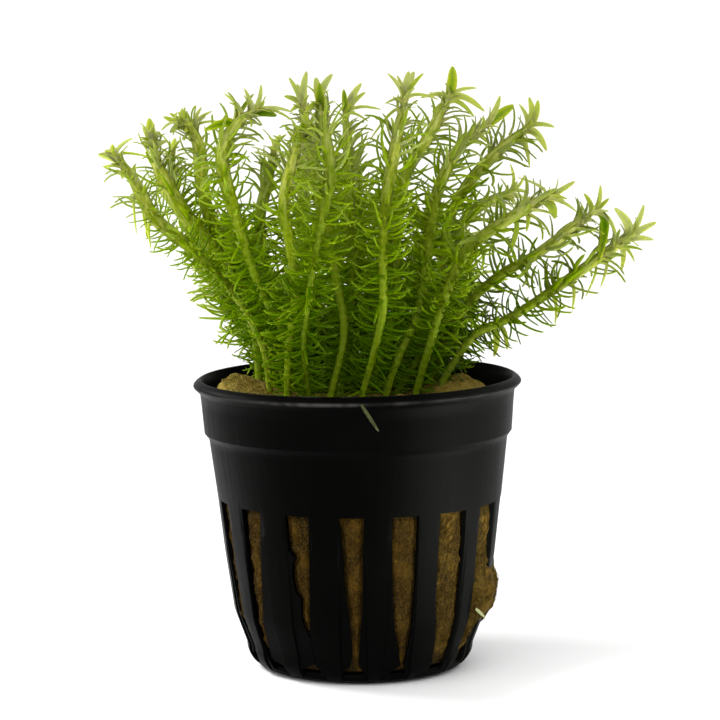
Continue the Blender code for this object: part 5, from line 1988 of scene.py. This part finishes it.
class BOGMOSS_OT_shoots(bpy.types.Operator):
    """Make every shoot with its stem, thin leaves and broad tip leaves"""

    bl_idname = "bogmoss.shoots"
    bl_label = "Shoots"

    def execute(self, context):
        settings = context.scene.bogmoss_leaf
        collection = leaf_collection()
        tree = leafy_stem_tree()
        leaf_material = leaf_finish(settings)
        stem_material = stem_finish(settings)
        for number, (name, path) in enumerate(stem_axes().items()):
            blades = tip_blades(name, path, settings)
            values = {
                "Leaf Shapes": collection,
                "Tip Leaves": blades,
                "Leaf Spacing": settings.leaf_spacing * (BACK_SPACING if name.startswith("back") else 1.0),
                "Leaf Length": settings.leaf_length * (BACK_LENGTH if name.startswith("back") else 1.0),
                "Leaf Width": settings.leaf_width,
                "Turn": settings.turn,
                "Stem Radius": settings.stem_radius,
                "Seed": settings.seed + 20 * number,
                "Leaf Material": leaf_material,
                "Stem Material": stem_material,
            }
            shoot = tree.apply(stem_guide(name, path), f"leafy_{name}", values)
            drop(blades)
            shade(shoot, LEAF_SMOOTH_ANGLE)
            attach(shoot, "root")
            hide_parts(f"shoot_{name}")
        for leaf in list(collection.objects):
            drop(leaf)
        bpy.data.collections.remove(collection)
        return {"FINISHED"}


class BOGMOSS_OT_shed_leaves(bpy.types.Operator):
    """Make the two shed leaves on the pot and on the wool"""

    bl_idname = "bogmoss.shed_leaves"
    bl_label = "Shed Leaves"

    def execute(self, context):
        material = shed_finish(context.scene.bogmoss_leaf)
        for name, (start, end), tone in (("pot", POT_LEAF, 0.0), ("wool", WOOL_LEAF, 0.8)):
            blades = Blades()
            start, end = np.array(start), np.array(end)
            middle = 0.5 * (start + end)
            out = unit(np.array((middle[0], middle[1], 0.0)))
            blades.add(start, end, unit(end - start) + 0.25 * out, SHED_LEAF_WIDTH, tone, 0.1, out)
            leaf = blades.piece(f"shed_leaf_{name}", 0.3, [material])
            shade(leaf, LEAF_SMOOTH_ANGLE)
            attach(leaf, "root")
            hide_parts(f"loose_leaf_{name}")
        return {"FINISHED"}


class BOGMOSS_PT_panel(bpy.types.Panel):
    """Lists the pieces and their settings"""

    bl_idname = "BOGMOSS_PT_panel"
    bl_label = "Stream Bogmoss"
    bl_space_type = "VIEW_3D"
    bl_region_type = "UI"
    bl_category = "Bogmoss"

    def draw(self, context):
        for group, operators in PANEL_ROWS:
            box = self.layout.box()
            for operator in operators:
                box.operator(operator)
            settings = getattr(context.scene, group)
            for name in settings.bl_rna.properties.keys():
                if name not in ("rna_type", "name"):
                    box.prop(settings, name)


PANEL_ROWS = (
    ("bogmoss_stage", ("bogmoss.stage",)),
    ("bogmoss_pot", ("bogmoss.pot",)),
    ("bogmoss_wool", ("bogmoss.wool",)),
    ("bogmoss_leaf", ("bogmoss.shoots", "bogmoss.shed_leaves")),
)
SETTINGS = (
    ("bogmoss_stage", BogmossStageSettings),
    ("bogmoss_pot", BogmossPotSettings),
    ("bogmoss_wool", BogmossWoolSettings),
    ("bogmoss_leaf", BogmossLeafSettings),
)
OPERATORS = (
    BOGMOSS_OT_stage,
    BOGMOSS_OT_pot,
    BOGMOSS_OT_wool,
    BOGMOSS_OT_shoots,
    BOGMOSS_OT_shed_leaves,
    BOGMOSS_PT_panel,
)


def register():
    for name, group in SETTINGS:
        bpy.utils.register_class(group)
        setattr(bpy.types.Scene, name, bpy.props.PointerProperty(type=group))
    for operator in OPERATORS:
        bpy.utils.register_class(operator)


def unregister():
    for operator in reversed(OPERATORS):
        bpy.utils.unregister_class(operator)
    for name, group in reversed(SETTINGS):
        delattr(bpy.types.Scene, name)
        bpy.utils.unregister_class(group)


def main():
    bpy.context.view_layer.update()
    register()
    bpy.ops.bogmoss.stage()
    bpy.ops.bogmoss.pot()
    bpy.ops.bogmoss.wool()
    bpy.ops.bogmoss.shoots()
    bpy.ops.bogmoss.shed_leaves()


if __name__ == "__main__":
    main()
